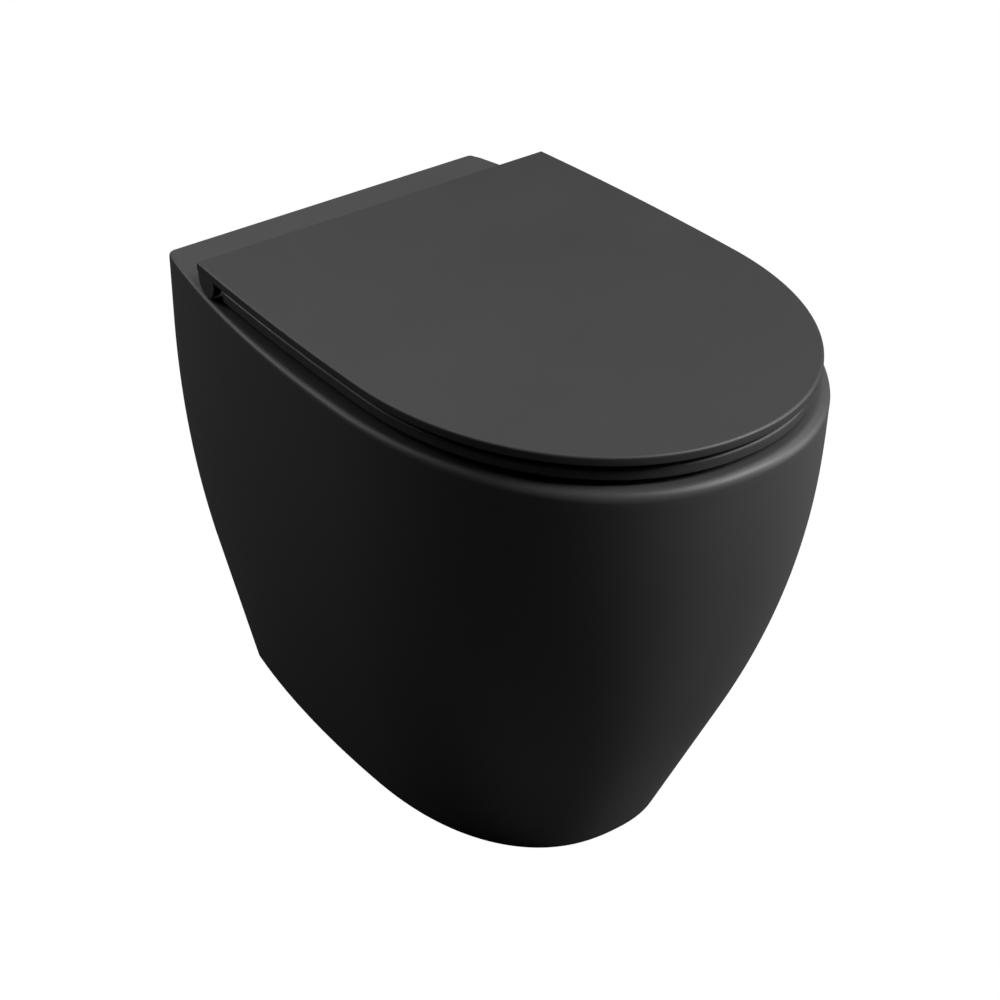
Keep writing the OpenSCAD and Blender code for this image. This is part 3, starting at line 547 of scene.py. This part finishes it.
def trap_path():
    """Centre line as (from the wall, height, heading), with 0 back and a quarter turn up."""
    entry = (sump_start + trap_entry_inset, sump_floor + trap_bore / 2)
    rise = (sump_start + rise_inset, entry[1] + rising_bend)
    rise_end = (rise[0] - rising_bend * math.sin(rise_angle), rise[1] - rising_bend * math.cos(rise_angle))
    over = (
        rise_end[0] - rising_leg * math.cos(rise_angle) - weir_bend * math.sin(rise_angle),
        rise_end[1] + rising_leg * math.sin(rise_angle) - weir_bend * math.cos(rise_angle),
    )
    path = [(entry[0], entry[1], 0.0)]
    for step in range(rising_steps + 1):
        a = rise_angle * step / rising_steps
        path.append((rise[0] - rising_bend * math.sin(a), rise[1] - rising_bend * math.cos(a), a))
    for step in range(weir_steps + 1):
        a = rise_angle - (rise_angle + math.pi / 2) * step / weir_steps
        path.append((over[0] + weir_bend * math.sin(a), over[1] + weir_bend * math.cos(a), a))
    path.append((over[0] - weir_bend, spigot_height, -math.pi / 2))
    return path, over


trap_line, weir_centre = trap_path()
drop_from_wall = weir_centre[0] - weir_bend


def trap_tube(name, radius, finish):
    sides = 48
    rings = []
    for from_wall, z, heading in trap_line:
        one = []
        for i in range(sides):
            a = math.tau * i / sides
            out = radius * math.cos(a)
            x = radius * math.sin(a)
            one.append(Vector((x, -(from_wall + out * math.sin(heading)), z + out * math.cos(heading))) * mm)
        rings.append(one)
    return loft(name, rings, finish)


spigot_start, spigot_end, spigot_radius, spigot_bore = 15.0, 60.0, 51.0, 42.0
chamber_shortening, chamber_relief = 10.0, 2.0
chamber_end = drop_from_wall + spigot_bore - chamber_shortening
inlet_start, inlet_height, inlet_radius, inlet_depth = 28.0, 335.0, 27.5, 35.0
horn_radius, flush_radius = 37.0, 22.0
shield_gap, shield_wall, shield_half, shield_height, shield_rise = 15.0, 9.0, 52.0, 60.0, 8.0
rib_wall = 12.0
lug_x, lug_depth, slot_radius, lug_frame = 82.0, 22.0, 9.3, 10.0
lug_outer = 180.0
pin_from_wall, pin_height = 148.0, 52.0
fixing_x, fixing_from_wall, fixing_radius = 77.5, 113.0, 7.5


def pipe(name, start, end, height, radius, finish, sides=72):
    """A round part that runs from front to back in the middle of the pan."""
    return rod(name, (0, start, height), (0, end, height), radius, finish, sides)


def lug(side):
    """A lug inside the skirt, with a slot for the bracket's pin that is open towards the wall."""
    reach = slot_radius + lug_frame
    inner, slot_end = side * (lug_x - past), side * (lug_x + lug_depth)
    made = block(
        "lug", sorted((side * lug_x, side * lug_outer)),
        (pin_from_wall - reach, pin_from_wall + reach), (pin_height - reach, pin_height + reach), bare_clay
    )
    slot_round = rod(
        "slot_round", (inner, pin_from_wall, pin_height), (slot_end, pin_from_wall, pin_height),
        slot_radius, bare_clay
    )
    slot_way = block(
        "slot_way", sorted((inner, slot_end)), (pin_from_wall - reach - past, pin_from_wall),
        (pin_height - slot_radius, pin_height + slot_radius), bare_clay
    )
    return combine(made, [slot_round, slot_way], "DIFFERENCE")


pan = outer_shell()
space = skirt_space()
rib = (-rib_wall / 2, rib_wall / 2)
horn_end = bowl_start + china_wall
deck_middle = pan_height - deck_wall / 2
kept_clay = [
    loft("bowl_wall", bowl_rings(china_wall, deck_middle, 16), bare_clay),
    trap_tube("trap_wall", trap_bore / 2 + china_wall, bare_clay),
    pipe("spigot", spigot_start, spigot_end, spigot_height, spigot_radius, bare_clay, 96),
    pipe(
        "chamber", spigot_end - past, chamber_end + china_wall, spigot_height,
        spigot_radius - chamber_relief, bare_clay, 96
    ),
    pipe("horn", inlet_start, horn_end, inlet_height, horn_radius, bare_clay),
    block("deck_rib", rib, (inlet_start + rib_wall, bowl_start), (inlet_height, deck_middle), bare_clay),
    block("trap_rib", rib, (weir_centre[0] - rib_wall, horn_end), (spigot_height, inlet_height), bare_clay),
    lug(-1),
    lug(1),
]
combine(space, kept_clay, "DIFFERENCE")

bowl = bowl_space()
shield_top = inlet_height + shield_height / 2 + shield_rise
shield_face = bowl_start + shield_gap
shield_x = (-shield_half, shield_half)
combine(bowl, [
    block(
        "shield", shield_x, (shield_face, shield_face + shield_wall),
        (shield_top - shield_height, shield_top), glaze
    ),
    block(
        "shield_roof", shield_x, (bowl_start - china_wall / 2, shield_face + shield_wall),
        (shield_top - shield_wall, shield_top), glaze
    ),
], "DIFFERENCE")

inlet_end = inlet_start + inlet_depth
cuts = [
    space,
    bowl,
    trap_tube("trap_bore", trap_bore / 2, glaze),
    pipe("outlet_bore", spigot_start - past, chamber_end, spigot_height, spigot_bore, glaze, 96),
    pipe("inlet_bore", inlet_start - past, inlet_end, inlet_height, inlet_radius, glaze),
    pipe("flush_bore", inlet_end - past, shield_face - past, inlet_height, flush_radius, glaze),
]
for side in (-1, 1):
    x = side * fixing_x
    cuts.append(rod(
        "fixing_bore", (x, fixing_from_wall, pan_height - deck_wall - past),
        (x, fixing_from_wall, pan_height + past), fixing_radius, bare_clay
    ))
combine(pan, cuts, "DIFFERENCE")
shade(pan)
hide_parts("pan")
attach(pan, "pan")


# Floor brackets: moulded nylon angles, screwed to the floor inside the skirt. Their pins
# wear rubber sleeves, and the pan's lugs slide over them from the front.
def dressed(node, body, finish, width):
    """Makes the shape of a CAD node, with its sharp edges slightly rounded, into the piece for it."""
    crease = 35.0
    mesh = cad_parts[node].data.copy()
    mesh.materials.clear()
    mesh.materials.append(finish)
    made = bmesh.new()
    made.from_mesh(mesh)
    bmesh.ops.remove_doubles(made, verts=made.verts, dist=2e-6)
    bmesh.ops.dissolve_limit(made, angle_limit=math.radians(0.6), verts=made.verts, edges=made.edges)
    for face in made.faces:
        face.material_index = 0
    made.to_mesh(mesh)
    made.free()
    piece = new_object(node + "_piece", mesh)
    rounding = piece.modifiers.new("rounding", "BEVEL")
    rounding.width = width * mm
    rounding.segments = 2
    rounding.limit_method = "ANGLE"
    rounding.angle_limit = math.radians(crease)
    made_plain(piece)
    shade(piece, crease, 2e-5)
    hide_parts(node)
    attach(piece, body)


def stock_finish(name, dark, light, roughness, spread, grain_size, grain_depth):
    """Moulded stock: slight clouds of tone, and a grain in its roughness and its surface."""
    material, tree, shader = new_finish(name)
    place = object_place(tree)
    cloud = noise(tree, place, 55.0, 3.0)
    grain = noise(tree, place, 1.0 / grain_size, 2.0)
    feed(
        tree, shader,
        Base_Color=blend_colours(tree, cloud, dark, light),
        Roughness=(grain + cloud - 1) * spread + roughness,
        Normal=bump(tree, grain, grain_depth, 0.5),
    )
    return material


nylon = stock_finish("natural_nylon", (0.60, 0.59, 0.55), (0.74, 0.73, 0.69), 0.5, 0.1, 0.0006, 0.00003)
sleeve_rubber = stock_finish(
    "sleeve_rubber", (0.022, 0.022, 0.023), (0.034, 0.034, 0.034), 0.75, 0.12, 0.0004, 0.00003
)
for side_name in ("left", "right"):
    dressed("floor_bracket_" + side_name, "pan", nylon, 0.8)
    dressed("bracket_sleeve_" + side_name, "pan", sleeve_rubber, 0.5)


# Seat fixings, tightened from above: a stainless stud pulls a brass cone nut up into a
# rubber bush, which swells under the deck. A polished base plate covers the hole.
def brushed_finish(name, dark, light, roughness, scratch, along):
    """Metal with fine scratches that run along one axis."""
    material, tree, shader = new_finish(name)
    place = object_place(tree)
    stretched = tree.add("ShaderNodeMapping", None, {"Vector": place, "Scale": along})
    lines = noise(tree, stretched, 2600.0, 2.0)
    cloud = noise(tree, place, 70.0, 2.0)
    feed(
        tree, shader,
        Base_Color=blend_colours(tree, cloud, dark, light),
        Roughness=lines * scratch + roughness,
        Normal=bump(tree, lines, 0.00002, 0.35),
    )
    shader.inputs["Metallic"].default_value = 1.0
    return material


def shape_tree(name, sizes):
    """A Geometry Nodes tree with named sizes, and the wires of its inputs."""
    group = bpy.data.node_groups.new(name, "GeometryNodeTree")
    group.interface.new_socket("Geometry", in_out="INPUT", socket_type="NodeSocketGeometry")
    for label in sizes:
        group.interface.new_socket(label, in_out="INPUT", socket_type="NodeSocketFloat")
    group.interface.new_socket("Geometry", in_out="OUTPUT", socket_type="NodeSocketGeometry")
    tree = Tree(group)
    entry = group.nodes.new("NodeGroupInput")
    return tree, {label: Wire(tree, entry.outputs[label]) for label in ["Geometry", *sizes]}


def close_tree(tree, geometry, finish):
    real = tree.add("GeometryNodeRealizeInstances", None, {"Geometry": geometry})
    painted = tree.add("GeometryNodeSetMaterial", None, {"Geometry": real, "Material": finish})
    leave = tree.tree.nodes.new("NodeGroupOutput")
    tree.tree.links.new(painted.socket, leave.inputs["Geometry"])


def grown(name, tree, sizes, points=((0.0, 0.0, 0.0),)):
    """The plain mesh that a shape tree makes from points, given in metres, and sizes, in millimetres."""
    mesh = bpy.data.meshes.new(name)
    mesh.from_pydata(points, [], [])
    holder = new_object(name, mesh)
    run = holder.modifiers.new("shape", "NODES")
    run.node_group = tree.tree
    for item in tree.tree.interface.items_tree:
        if item.in_out == "INPUT" and item.name in sizes:
            run[item.identifier] = float(sizes[item.name])
    made_plain(holder)
    return holder


def coil_tree(name, finish, profile_sides, turn=(0.0, 0.0, 0.0)):
    """Wire wound round +Z from each point, or round another line where it is turned."""
    tree, size = shape_tree(name, ["Radius", "Length", "Turns", "Wire"])
    spiral = tree.add(
        "GeometryNodeCurveSpiral", None,
        {
            "Resolution": 24, "Rotations": size["Turns"], "Start Radius": size["Radius"] * mm,
            "End Radius": size["Radius"] * mm, "Height": size["Length"] * mm,
        }
    )
    profile = tree.add(
        "GeometryNodeCurvePrimitiveCircle", None, {"Resolution": profile_sides, "Radius": size["Wire"] * mm}
    )
    wire = tree.add(
        "GeometryNodeCurveToMesh", None, {"Curve": spiral, "Profile Curve": profile, "Fill Caps": True}
    )
    placed = tree.add(
        "GeometryNodeInstanceOnPoints", None, {"Points": size["Geometry"], "Instance": wire, "Rotation": turn}
    )
    close_tree(tree, placed, finish)
    return tree


stainless = brushed_finish(
    "turned_stainless", (0.50, 0.51, 0.53), (0.62, 0.63, 0.65), 0.2, 0.18, (1, 1, 0.06)
)
polished = brushed_finish(
    "polished_stainless", (0.60, 0.61, 0.63), (0.68, 0.69, 0.71), 0.12, 0.12, (0.08, 1, 1)
)
brass = brushed_finish("turned_brass", (0.52, 0.38, 0.15), (0.62, 0.47, 0.21), 0.25, 0.18, (1, 1, 0.06))
bush_rubber = stock_finish(
    "bush_rubber", (0.020, 0.020, 0.021), (0.032, 0.032, 0.033), 0.7, 0.12, 0.0005, 0.00004
)
shank_radius = 3.0
thread_start, thread_length, thread_pitch, thread_wire = 374.5, 2.9, 1.0, 0.32
thread_tree = coil_tree("stud_thread", stainless, 4)
for side, side_name in ((-1, "left"), (1, "right")):
    dressed("expansion_bush_" + side_name, "pan", bush_rubber, 0.4)
    dressed("cone_nut_" + side_name, "pan", brass, 0.4)
    dressed("base_plate_" + side_name, "pan", polished, 0.5)
    dressed("fixing_stud_" + side_name, "pan", stainless, 0.3)
    thread = grown("stud_thread_" + side_name, thread_tree, {
        "Radius": shank_radius, "Length": thread_length,
        "Turns": thread_length / thread_pitch, "Wire": thread_wire,
    }, [(side * fixing_x * mm, -fixing_from_wall * mm, thread_start * mm)])
    shade(thread, 60)
    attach(thread, "pan")


# Hinge blocks are chromed zinc castings that clip down over the studs. Each carries the
# ground spindle that the seat and the lid both turn on, and a spring-loaded release button.
def chrome_finish():
    material, tree, shader = new_finish("satin_chrome")
    place = object_place(tree)
    ripple = noise(tree, place, 160.0, 2.0)
    haze = noise(tree, place, 900.0, 2.0)
    feed(
        tree, shader,
        Base_Color=blend_colours(tree, ripple, (0.58, 0.59, 0.61), (0.66, 0.67, 0.69)),
        Roughness=haze * 0.1 + ripple * 0.06 + 0.1,
        Normal=bump(tree, ripple, 0.00005, 0.3),
    )
    shader.inputs["Metallic"].default_value = 1.0
    return material


satin_chrome = chrome_finish()
ground_steel = brushed_finish(
    "ground_steel", (0.50, 0.51, 0.53), (0.60, 0.61, 0.63), 0.18, 0.16, (0.06, 1, 1)
)
spring_steel = brushed_finish(
    "spring_wire", (0.46, 0.47, 0.49), (0.58, 0.59, 0.61), 0.22, 0.15, (1, 1, 1)
)
acetal = stock_finish("black_acetal", (0.030, 0.030, 0.031), (0.042, 0.042, 0.043), 0.4, 0.1, 0.0005, 0.00002)
spring_x, spring_z, spring_back, spring_length = 10.2, 424.2, 114.0, 8.0
coil_radius, coil_wire, coil_turns = 1.3, 0.2, 6.0
button_coil = coil_tree("button_coil", spring_steel, 10, (math.pi / 2, 0.0, 0.0))
for side, side_name in ((-1, "left"), (1, "right")):
    dressed("hinge_block_" + side_name, "pan", satin_chrome, 0.5)
    dressed("hinge_spindle_" + side_name, "pan", ground_steel, 0.4)
    dressed("release_button_" + side_name, "release_button_" + side_name, acetal, 0.3)
    spring = grown("button_spring_piece_" + side_name, button_coil, {
        "Radius": coil_radius, "Length": spring_length - 2 * coil_wire,
        "Turns": coil_turns, "Wire": coil_wire,
    }, [(side * (fixing_x + spring_x) * mm, -(spring_back + coil_wire) * mm, spring_z * mm)])
    shade(spring, 60)
    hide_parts("button_spring_" + side_name)
    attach(spring, "pan")
    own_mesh(spring)


# The seat is compression-moulded thermoset, as hard as china and textured to match the
# glaze. Its back edge is notched for the hinge blocks, and its barrels run on the spindles.
def moulding_finish():
    material, tree, shader = new_finish("matt_black_moulding")
    place = object_place(tree)
    cloud = noise(tree, place, 11.0, 3.0)
    grain = noise(tree, place, 1500.0, 2.0)
    fine = noise(tree, place, 5200.0, 1.0)
    feed(
        tree, shader,
        Base_Color=blend_colours(tree, cloud, (0.034, 0.034, 0.035), (0.040, 0.040, 0.041)),
        Roughness=0.42 + cloud * 0.06 + grain * 0.08,
        Normal=bump(tree, grain + fine * 0.5, 0.00003, 0.4),
    )
    return material


def stacked(tree, count, rings, ring_place):
    """A closed body through rings, the lowest first.

    ring_place gives the place of a point from its number and the two values of its ring.
    """
    circle = tree.add("GeometryNodeMeshCircle", {"fill_type": "NGON"}, {"Vertices": count})
    numbered = tree.add(
        "GeometryNodeStoreNamedAttribute", {"data_type": "FLOAT", "domain": "POINT"},
        {"Geometry": circle, "Name": "number", "Value": tree.add("GeometryNodeInputIndex")}
    )
    number = tree.add("GeometryNodeInputNamedAttribute", {"data_type": "FLOAT"}, {"Name": "number"})
    body = tree.add(
        "GeometryNodeSetPosition", None, {"Geometry": numbered, "Position": ring_place(number, *rings[0])}
    )
    underside = tree.add("GeometryNodeFlipFaces", None, {"Mesh": body})
    top = True
    for one in rings[1:]:
        step = tree.add(
            "GeometryNodeExtrudeMesh", None,
            {"Mesh": body, "Selection": top, "Offset Scale": 0.0, "Individual": False}
        )
        top = step.top
        body = tree.add(
            "GeometryNodeSetPosition", None,
            {"Geometry": step, "Selection": top, "Position": ring_place(number, *one)}
        )
    joined = tree.add("GeometryNodeJoinGeometry", None, {"Geometry": [underside, body]})
    closed = tree.add("GeometryNodeMergeByDistance", None, {"Geometry": joined, "Distance": 1e-6})
    return tree.add("GeometryNodeRemoveAttribute", None, {"Geometry": closed, "Name": "number"})


def edge_rings(bottom, top, low_round, high_round):
    """Pairs of inset and height up the rounded edge of a plate."""
    low_steps, high_steps = 4, 7
    rings = []
    for step in range(low_steps + 1):
        angle = math.pi / 2 * step / low_steps
        rings.append((low_round * (1 - math.sin(angle)), bottom + low_round * (1 - math.cos(angle))))
    for step in range(high_steps + 1):
        angle = math.pi / 2 * step / high_steps
        rings.append((high_round * (1 - math.cos(angle)), top - high_round * (1 - math.sin(angle))))
    return rings


plate_steps = (24, 84)


def d_plate_tree(name, finish):
    """A plate with a D outline: an ellipse behind its widest line and a squarer curve before it."""
    tree, size = shape_tree(name, [
        "Width", "Back Width", "Widest", "Reach", "Setback", "Start", "Squareness",
        "Bottom", "Top", "Low Round", "High Round",
    ])
    back_steps, front_steps = plate_steps
    half = back_steps + front_steps
    power = tree.add("ShaderNodeMath", {"operation": "DIVIDE"}, {0: 2.0, 1: size["Squareness"]})

    def ring_place(number, inset, height):
        away = (number - half).maths("ABSOLUTE", number - half)
        hand = away.maths("SIGN", half - number)
        front = away.maths("MINIMUM", away, front_steps) * (-math.pi / 2 / front_steps) + math.pi / 2
        width = size["Width"] - inset * 2
        ratio = (size["Back Width"] - inset * 2) / width
        back = (size["Widest"] - size["Setback"]) / ((1 - ratio * ratio) ** 0.5)
        last = away.maths("ARCSINE", (size["Widest"] - size["Start"] - inset) / back)
        side = away.maths("MAXIMUM", away - front_steps, 0.0) * last / back_steps
        across = width * 0.5 * (away.maths("COSINE", front) ** power) * away.maths("COSINE", side) * hand
        from_wall = (
            size["Widest"] + (size["Reach"] - inset - size["Widest"]) * (away.maths("SINE", front) ** power)
            - back * away.maths("SINE", side)
        )
        return tree.add(
            "ShaderNodeCombineXYZ", None, {"X": across * mm, "Y": from_wall * -mm, "Z": height * mm}
        )

    rings = edge_rings(size["Bottom"], size["Top"], size["Low Round"], size["High Round"])
    close_tree(tree, stacked(tree, 2 * half + 1, rings, ring_place), finish)
    return tree


lid_shape = {"wall": 338.0, "width": 358.0, "widest": 313.0, "reach": 538.5, "squareness": 2.07}
lid_setback = 75.5


def lid_outline(margin, begin):
    """The lid's outline drawn in by a margin, from a place that far from the wall."""
    shape = dict(lid_shape)
    shape["wall"] -= 2 * margin
    shape["width"] -= 2 * margin
    shape["reach"] -= margin
    return mirrored(half_d(shape, lid_setback, begin, *plate_steps))


def prism(name, outline, low, high, finish):
    return loft(name, [ring(outline, low), ring(outline, high)], finish)


opening_width, opening_start, opening_end, opening_squareness = 216.0, 205.0, 464.0, 2.15


def seat_opening(grow):
    return oval(opening_width + 2 * grow, opening_start - grow, opening_end + grow, opening_squareness, 160)


moulding = moulding_finish()
d_plate = d_plate_tree("d_plate", moulding)
seat_bottom, seat_top = 423.5, 432.5
seat_inset, seat_setback, seat_low_round, seat_high_round = 4.0, 111.0, 1.0, 2.6
hinge_from_wall, axis_height, barrel_radius = 89.0, 433.5, 7.5
seat_barrel = (92.0, 118.0)
lid_barrel = (37.0, 63.0)
bore_radius, barrel_cap, cap_clearance = 5.55, 2.5, 0.3
notch_side, notch_front = (63.0, 92.0), 131.0
recess_band, seat_recess = 12.0, 3.0
seat_boss_radius, stem_radius, seat_stem = 12.0, 3.0, 4.0
back_buffer, front_buffer = (146.0, 205.0), (76.0, 496.0)
buffer_places = [(x * side, from_wall) for side in (-1, 1) for x, from_wall in (back_buffer, front_buffer)]


def mirrored_block(name, x, from_wall, z):
    return [block(name, sorted((side * x[0], side * x[1])), from_wall, z, moulding) for side in (-1, 1)]


def mirrored_rod(name, start, end, radius):
    """A rod on the hinge axis at each side, between two distances from the middle."""
    return [
        rod(
            name, (side * start, hinge_from_wall, axis_height), (side * end, hinge_from_wall, axis_height),
            radius, moulding
        )
        for side in (-1, 1)
    ]


def under_buffers(name, low, high, radius, sides=72):
    """An upright rod over each of the four buffers."""
    return [rod(name, (x, w, low), (x, w, high), radius, moulding, sides) for x, w in buffer_places]


seat = grown("seat_piece", d_plate, {
    "Width": lid_shape["width"] - 2 * seat_inset, "Back Width": lid_shape["wall"] - 2 * seat_inset,
    "Widest": lid_shape["widest"], "Reach": lid_shape["reach"] - seat_inset, "Setback": lid_setback,
    "Start": seat_setback, "Squareness": lid_shape["squareness"], "Bottom": seat_bottom, "Top": seat_top,
    "Low Round": seat_low_round, "High Round": seat_high_round,
})
opening_rings = [ring(seat_opening(seat_low_round), seat_bottom - past)]
for inset, height in edge_rings(seat_bottom, seat_top, seat_low_round, seat_high_round):
    opening_rings.append(ring(seat_opening(inset), height))
opening_rings.append(ring(seat_opening(seat_high_round), seat_top + past))
combine(
    seat,
    [loft("opening", opening_rings, moulding)]
    + mirrored_block(
        "notch", notch_side, (seat_setback - past, notch_front), (seat_bottom - past, seat_top + past)
    ),
    "DIFFERENCE"
)
combine(
    seat,
    mirrored_rod("barrel", *seat_barrel, barrel_radius)
    + mirrored_block(
        "neck", seat_barrel, (hinge_from_wall, seat_setback + recess_band / 2),
        (seat_bottom, seat_top - seat_high_round / 2)
    ),
    "UNION"
)
seat_recess_top = seat_bottom + seat_recess
recess = prism(
    "recess", lid_outline(seat_inset + recess_band, seat_setback + recess_band),
    seat_bottom - past, seat_recess_top, moulding
)
spared_height = (seat_bottom - 2 * past, seat_recess_top + past)
combine(
    recess,
    [prism("spared", seat_opening(recess_band), *spared_height, moulding)]
    + mirrored_block(
        "spared", (notch_side[0] - recess_band, notch_side[1] + recess_band),
        (seat_setback, notch_front + recess_band), spared_height
    )
    + under_buffers("boss", *spared_height, seat_boss_radius),
    "DIFFERENCE"
)
holes = under_buffers("stem", seat_bottom - past, seat_bottom + seat_stem, stem_radius, 32)
holes += mirrored_rod("bore", seat_barrel[0] - past, seat_barrel[1] - barrel_cap + cap_clearance, bore_radius)
combine(seat, [recess] + holes, "DIFFERENCE")
shade(seat)
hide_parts("seat_ring")
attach(seat, "seat")


# Four soft rubber buffers are pressed into the underside of the seat, and four into the
# lid's. Each is a round foot with a domed face, on a stem that grips its hole.
def buffer_tree(name, finish):
    """A foot and its stem, turned round +Z, at each point."""
    tree, size = shape_tree(name, ["Radius", "Height", "Round", "Dome", "Stem Radius", "Stem Length"])
    count, steps, bevel = 40, 5, 0.4

    def ring_place(number, radius, height):
        angle = number * (math.tau / count)
        return tree.add("ShaderNodeCombineXYZ", None, {
            "X": radius * mm * angle.maths("COSINE", angle), "Y": radius * mm * angle.maths("SINE", angle),
            "Z": height * mm,
        })

    rings = [(size["Radius"] * share, size["Dome"] * rise) for share, rise in ((0.3, 0.06), (0.6, 0.4))]
    for step in range(steps + 1):
        angle = math.pi / 2 * step / steps
        rings.append((
            size["Radius"] - size["Round"] * (1 - math.sin(angle)),
            size["Dome"] + size["Round"] * (1 - math.cos(angle)),
        ))
    rings.append((size["Radius"], size["Height"] - bevel))
    rings.append((size["Radius"] - bevel, size["Height"]))
    rings.append((size["Stem Radius"], size["Height"]))
    rings.append((size["Stem Radius"], size["Height"] + size["Stem Length"]))
    foot = stacked(tree, count, rings, ring_place)
    placed = tree.add("GeometryNodeInstanceOnPoints", None, {"Points": size["Geometry"], "Instance": foot})
    close_tree(tree, placed, finish)
    return tree


def buffer_set(name, node, body, low, sizes):
    places = [(x * mm, -from_wall * mm, low * mm) for x, from_wall in buffer_places]
    piece = grown(name, buffers, sizes, places)
    shade(piece, 40)
    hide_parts(node)
    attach(piece, body)


buffer_rubber = stock_finish(
    "buffer_rubber", (0.026, 0.026, 0.027), (0.038, 0.038, 0.039), 0.6, 0.12, 0.0004, 0.00003
)
buffers = buffer_tree("buffers", buffer_rubber)
buffer_gap, buffer_stem_radius, stem_clearance = 0.3, 2.95, 0.3
buffer_set("seat_buffers_piece", "seat_buffers", "seat", pan_height + buffer_gap, {
    "Radius": 10, "Height": seat_bottom - pan_height - buffer_gap, "Round": 1.2, "Dome": 0.4,
    "Stem Radius": buffer_stem_radius, "Stem Length": seat_stem - stem_clearance,
})


# A soft-close damper cartridge fills one barrel of the seat and one of the lid. A plain
# nylon bush fills the other. All four turn on the spindles with their piece.
damper_shell = stock_finish(
    "damper_shell", (0.10, 0.11, 0.13), (0.14, 0.15, 0.17), 0.45, 0.1, 0.0005, 0.00002
)
dressed("seat_damper", "seat", damper_shell, 0.3)
dressed("seat_hinge_bush", "seat", nylon, 0.3)
dressed("lid_damper", "lid", damper_shell, 0.3)
dressed("lid_hinge_bush", "lid", nylon, 0.3)


# The lid is a thin plate of the same thermoset with a fine bevel round its top. At its
# back it turns down into a hood that hides the barrels, closed by an ear at each end.
lid_bottom, lid_top, lid_low_round, lid_bevel = 437.5, 444.5, 0.4, 2.0
ear_drop, ear_straight, ear_wall = 14.5, 0.5, 6.0
hood_wall, hood_low, hood_inset = 3.0, 4.0, 0.6
hood_reach = hinge_from_wall - lid_setback - hood_inset
hood_front = hinge_from_wall + hood_reach
pocket_x, pocket_roof, pocket_front = (63.25, 118.5), 8.0, 98.0
back_notch_x = (59.0, 96.0)
lid_recess, underside_gap = 2.0, 2.0
lid_boss_radius, lid_stem = 9.0, 3.0


def hood_bar():
    """The hood's rounded profile, the width of the lid, before it is trimmed to the lid's outline."""
    turns = 32
    top = lid_bottom + past
    profile = [(hood_front, top), (hinge_from_wall - hood_reach, top)]
    for step in range(turns + 1):
        angle = math.pi * step / turns
        profile.append((
            hinge_from_wall - hood_reach * math.cos(angle),
            axis_height + ear_straight - ear_drop * math.sin(angle),
        ))
    half = lid_shape["width"] / 2
    ends = [[Vector((x, -from_wall, z)) * mm for from_wall, z in profile] for x in (-half, half)]
    return loft("hood", ends, moulding)


lid = grown("lid_piece", d_plate, {
    "Width": lid_shape["width"], "Back Width": lid_shape["wall"], "Widest": lid_shape["widest"],
    "Reach": lid_shape["reach"], "Setback": lid_setback, "Start": lid_setback,
    "Squareness": lid_shape["squareness"], "Bottom": lid_bottom, "Top": lid_top,
    "Low Round": lid_low_round, "High Round": lid_bevel,
})
hood = hood_bar()
hood_bottom = axis_height - ear_drop - past
trim = prism("trim", lid_outline(hood_inset, lid_setback), hood_bottom, lid_top - past, moulding)
combine(hood, [trim], "INTERSECT")
combine(lid, [hood], "UNION")
inner = lid_shape["wall"] / 2 - ear_wall
front = hood_front + past
pocket_top = axis_height + pocket_roof
hollow_x = (-inner, inner)
back_edge = axis_height - hood_low
hollows = [
    block("hollow", hollow_x, (lid_setback + hood_wall, front), (hood_bottom, lid_bottom), moulding),
    block("hollow", hollow_x, (lid_setback - past, front), (hood_bottom, back_edge), moulding),
]
hollows += mirrored_block(
    "pocket", pocket_x, (lid_setback + hood_wall, pocket_front), (lid_bottom - past, pocket_top)
)
hollows += mirrored_block(
    "back_notch", back_notch_x, (lid_setback - past, hinge_from_wall), (hood_bottom, pocket_top)
)
combine(lid, hollows, "DIFFERENCE")
combine(lid, mirrored_rod("barrel", *lid_barrel, barrel_radius), "UNION")
recess_top = lid_bottom + lid_recess
recess = prism(
    "recess", lid_outline(recess_band, hood_front + underside_gap + recess_band),
    lid_bottom - past, recess_top, moulding
)
bosses = under_buffers("boss", lid_bottom - 2 * past, recess_top + past, lid_boss_radius)
combine(recess, bosses, "DIFFERENCE")
holes = under_buffers("stem", lid_bottom - past, lid_bottom + lid_stem, stem_radius, 32)
holes += mirrored_rod("bore", lid_barrel[0] + barrel_cap - cap_clearance, lid_barrel[1] + past, bore_radius)
combine(lid, [recess] + holes, "DIFFERENCE")
shade(lid)
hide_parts("lid")
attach(lid, "lid")
buffer_set("lid_buffers_piece", "lid_buffers", "lid", seat_top + buffer_gap, {
    "Radius": 7, "Height": lid_bottom - seat_top - buffer_gap, "Round": 1.0, "Dome": 0.3,
    "Stem Radius": buffer_stem_radius, "Stem Length": lid_stem - stem_clearance,
})
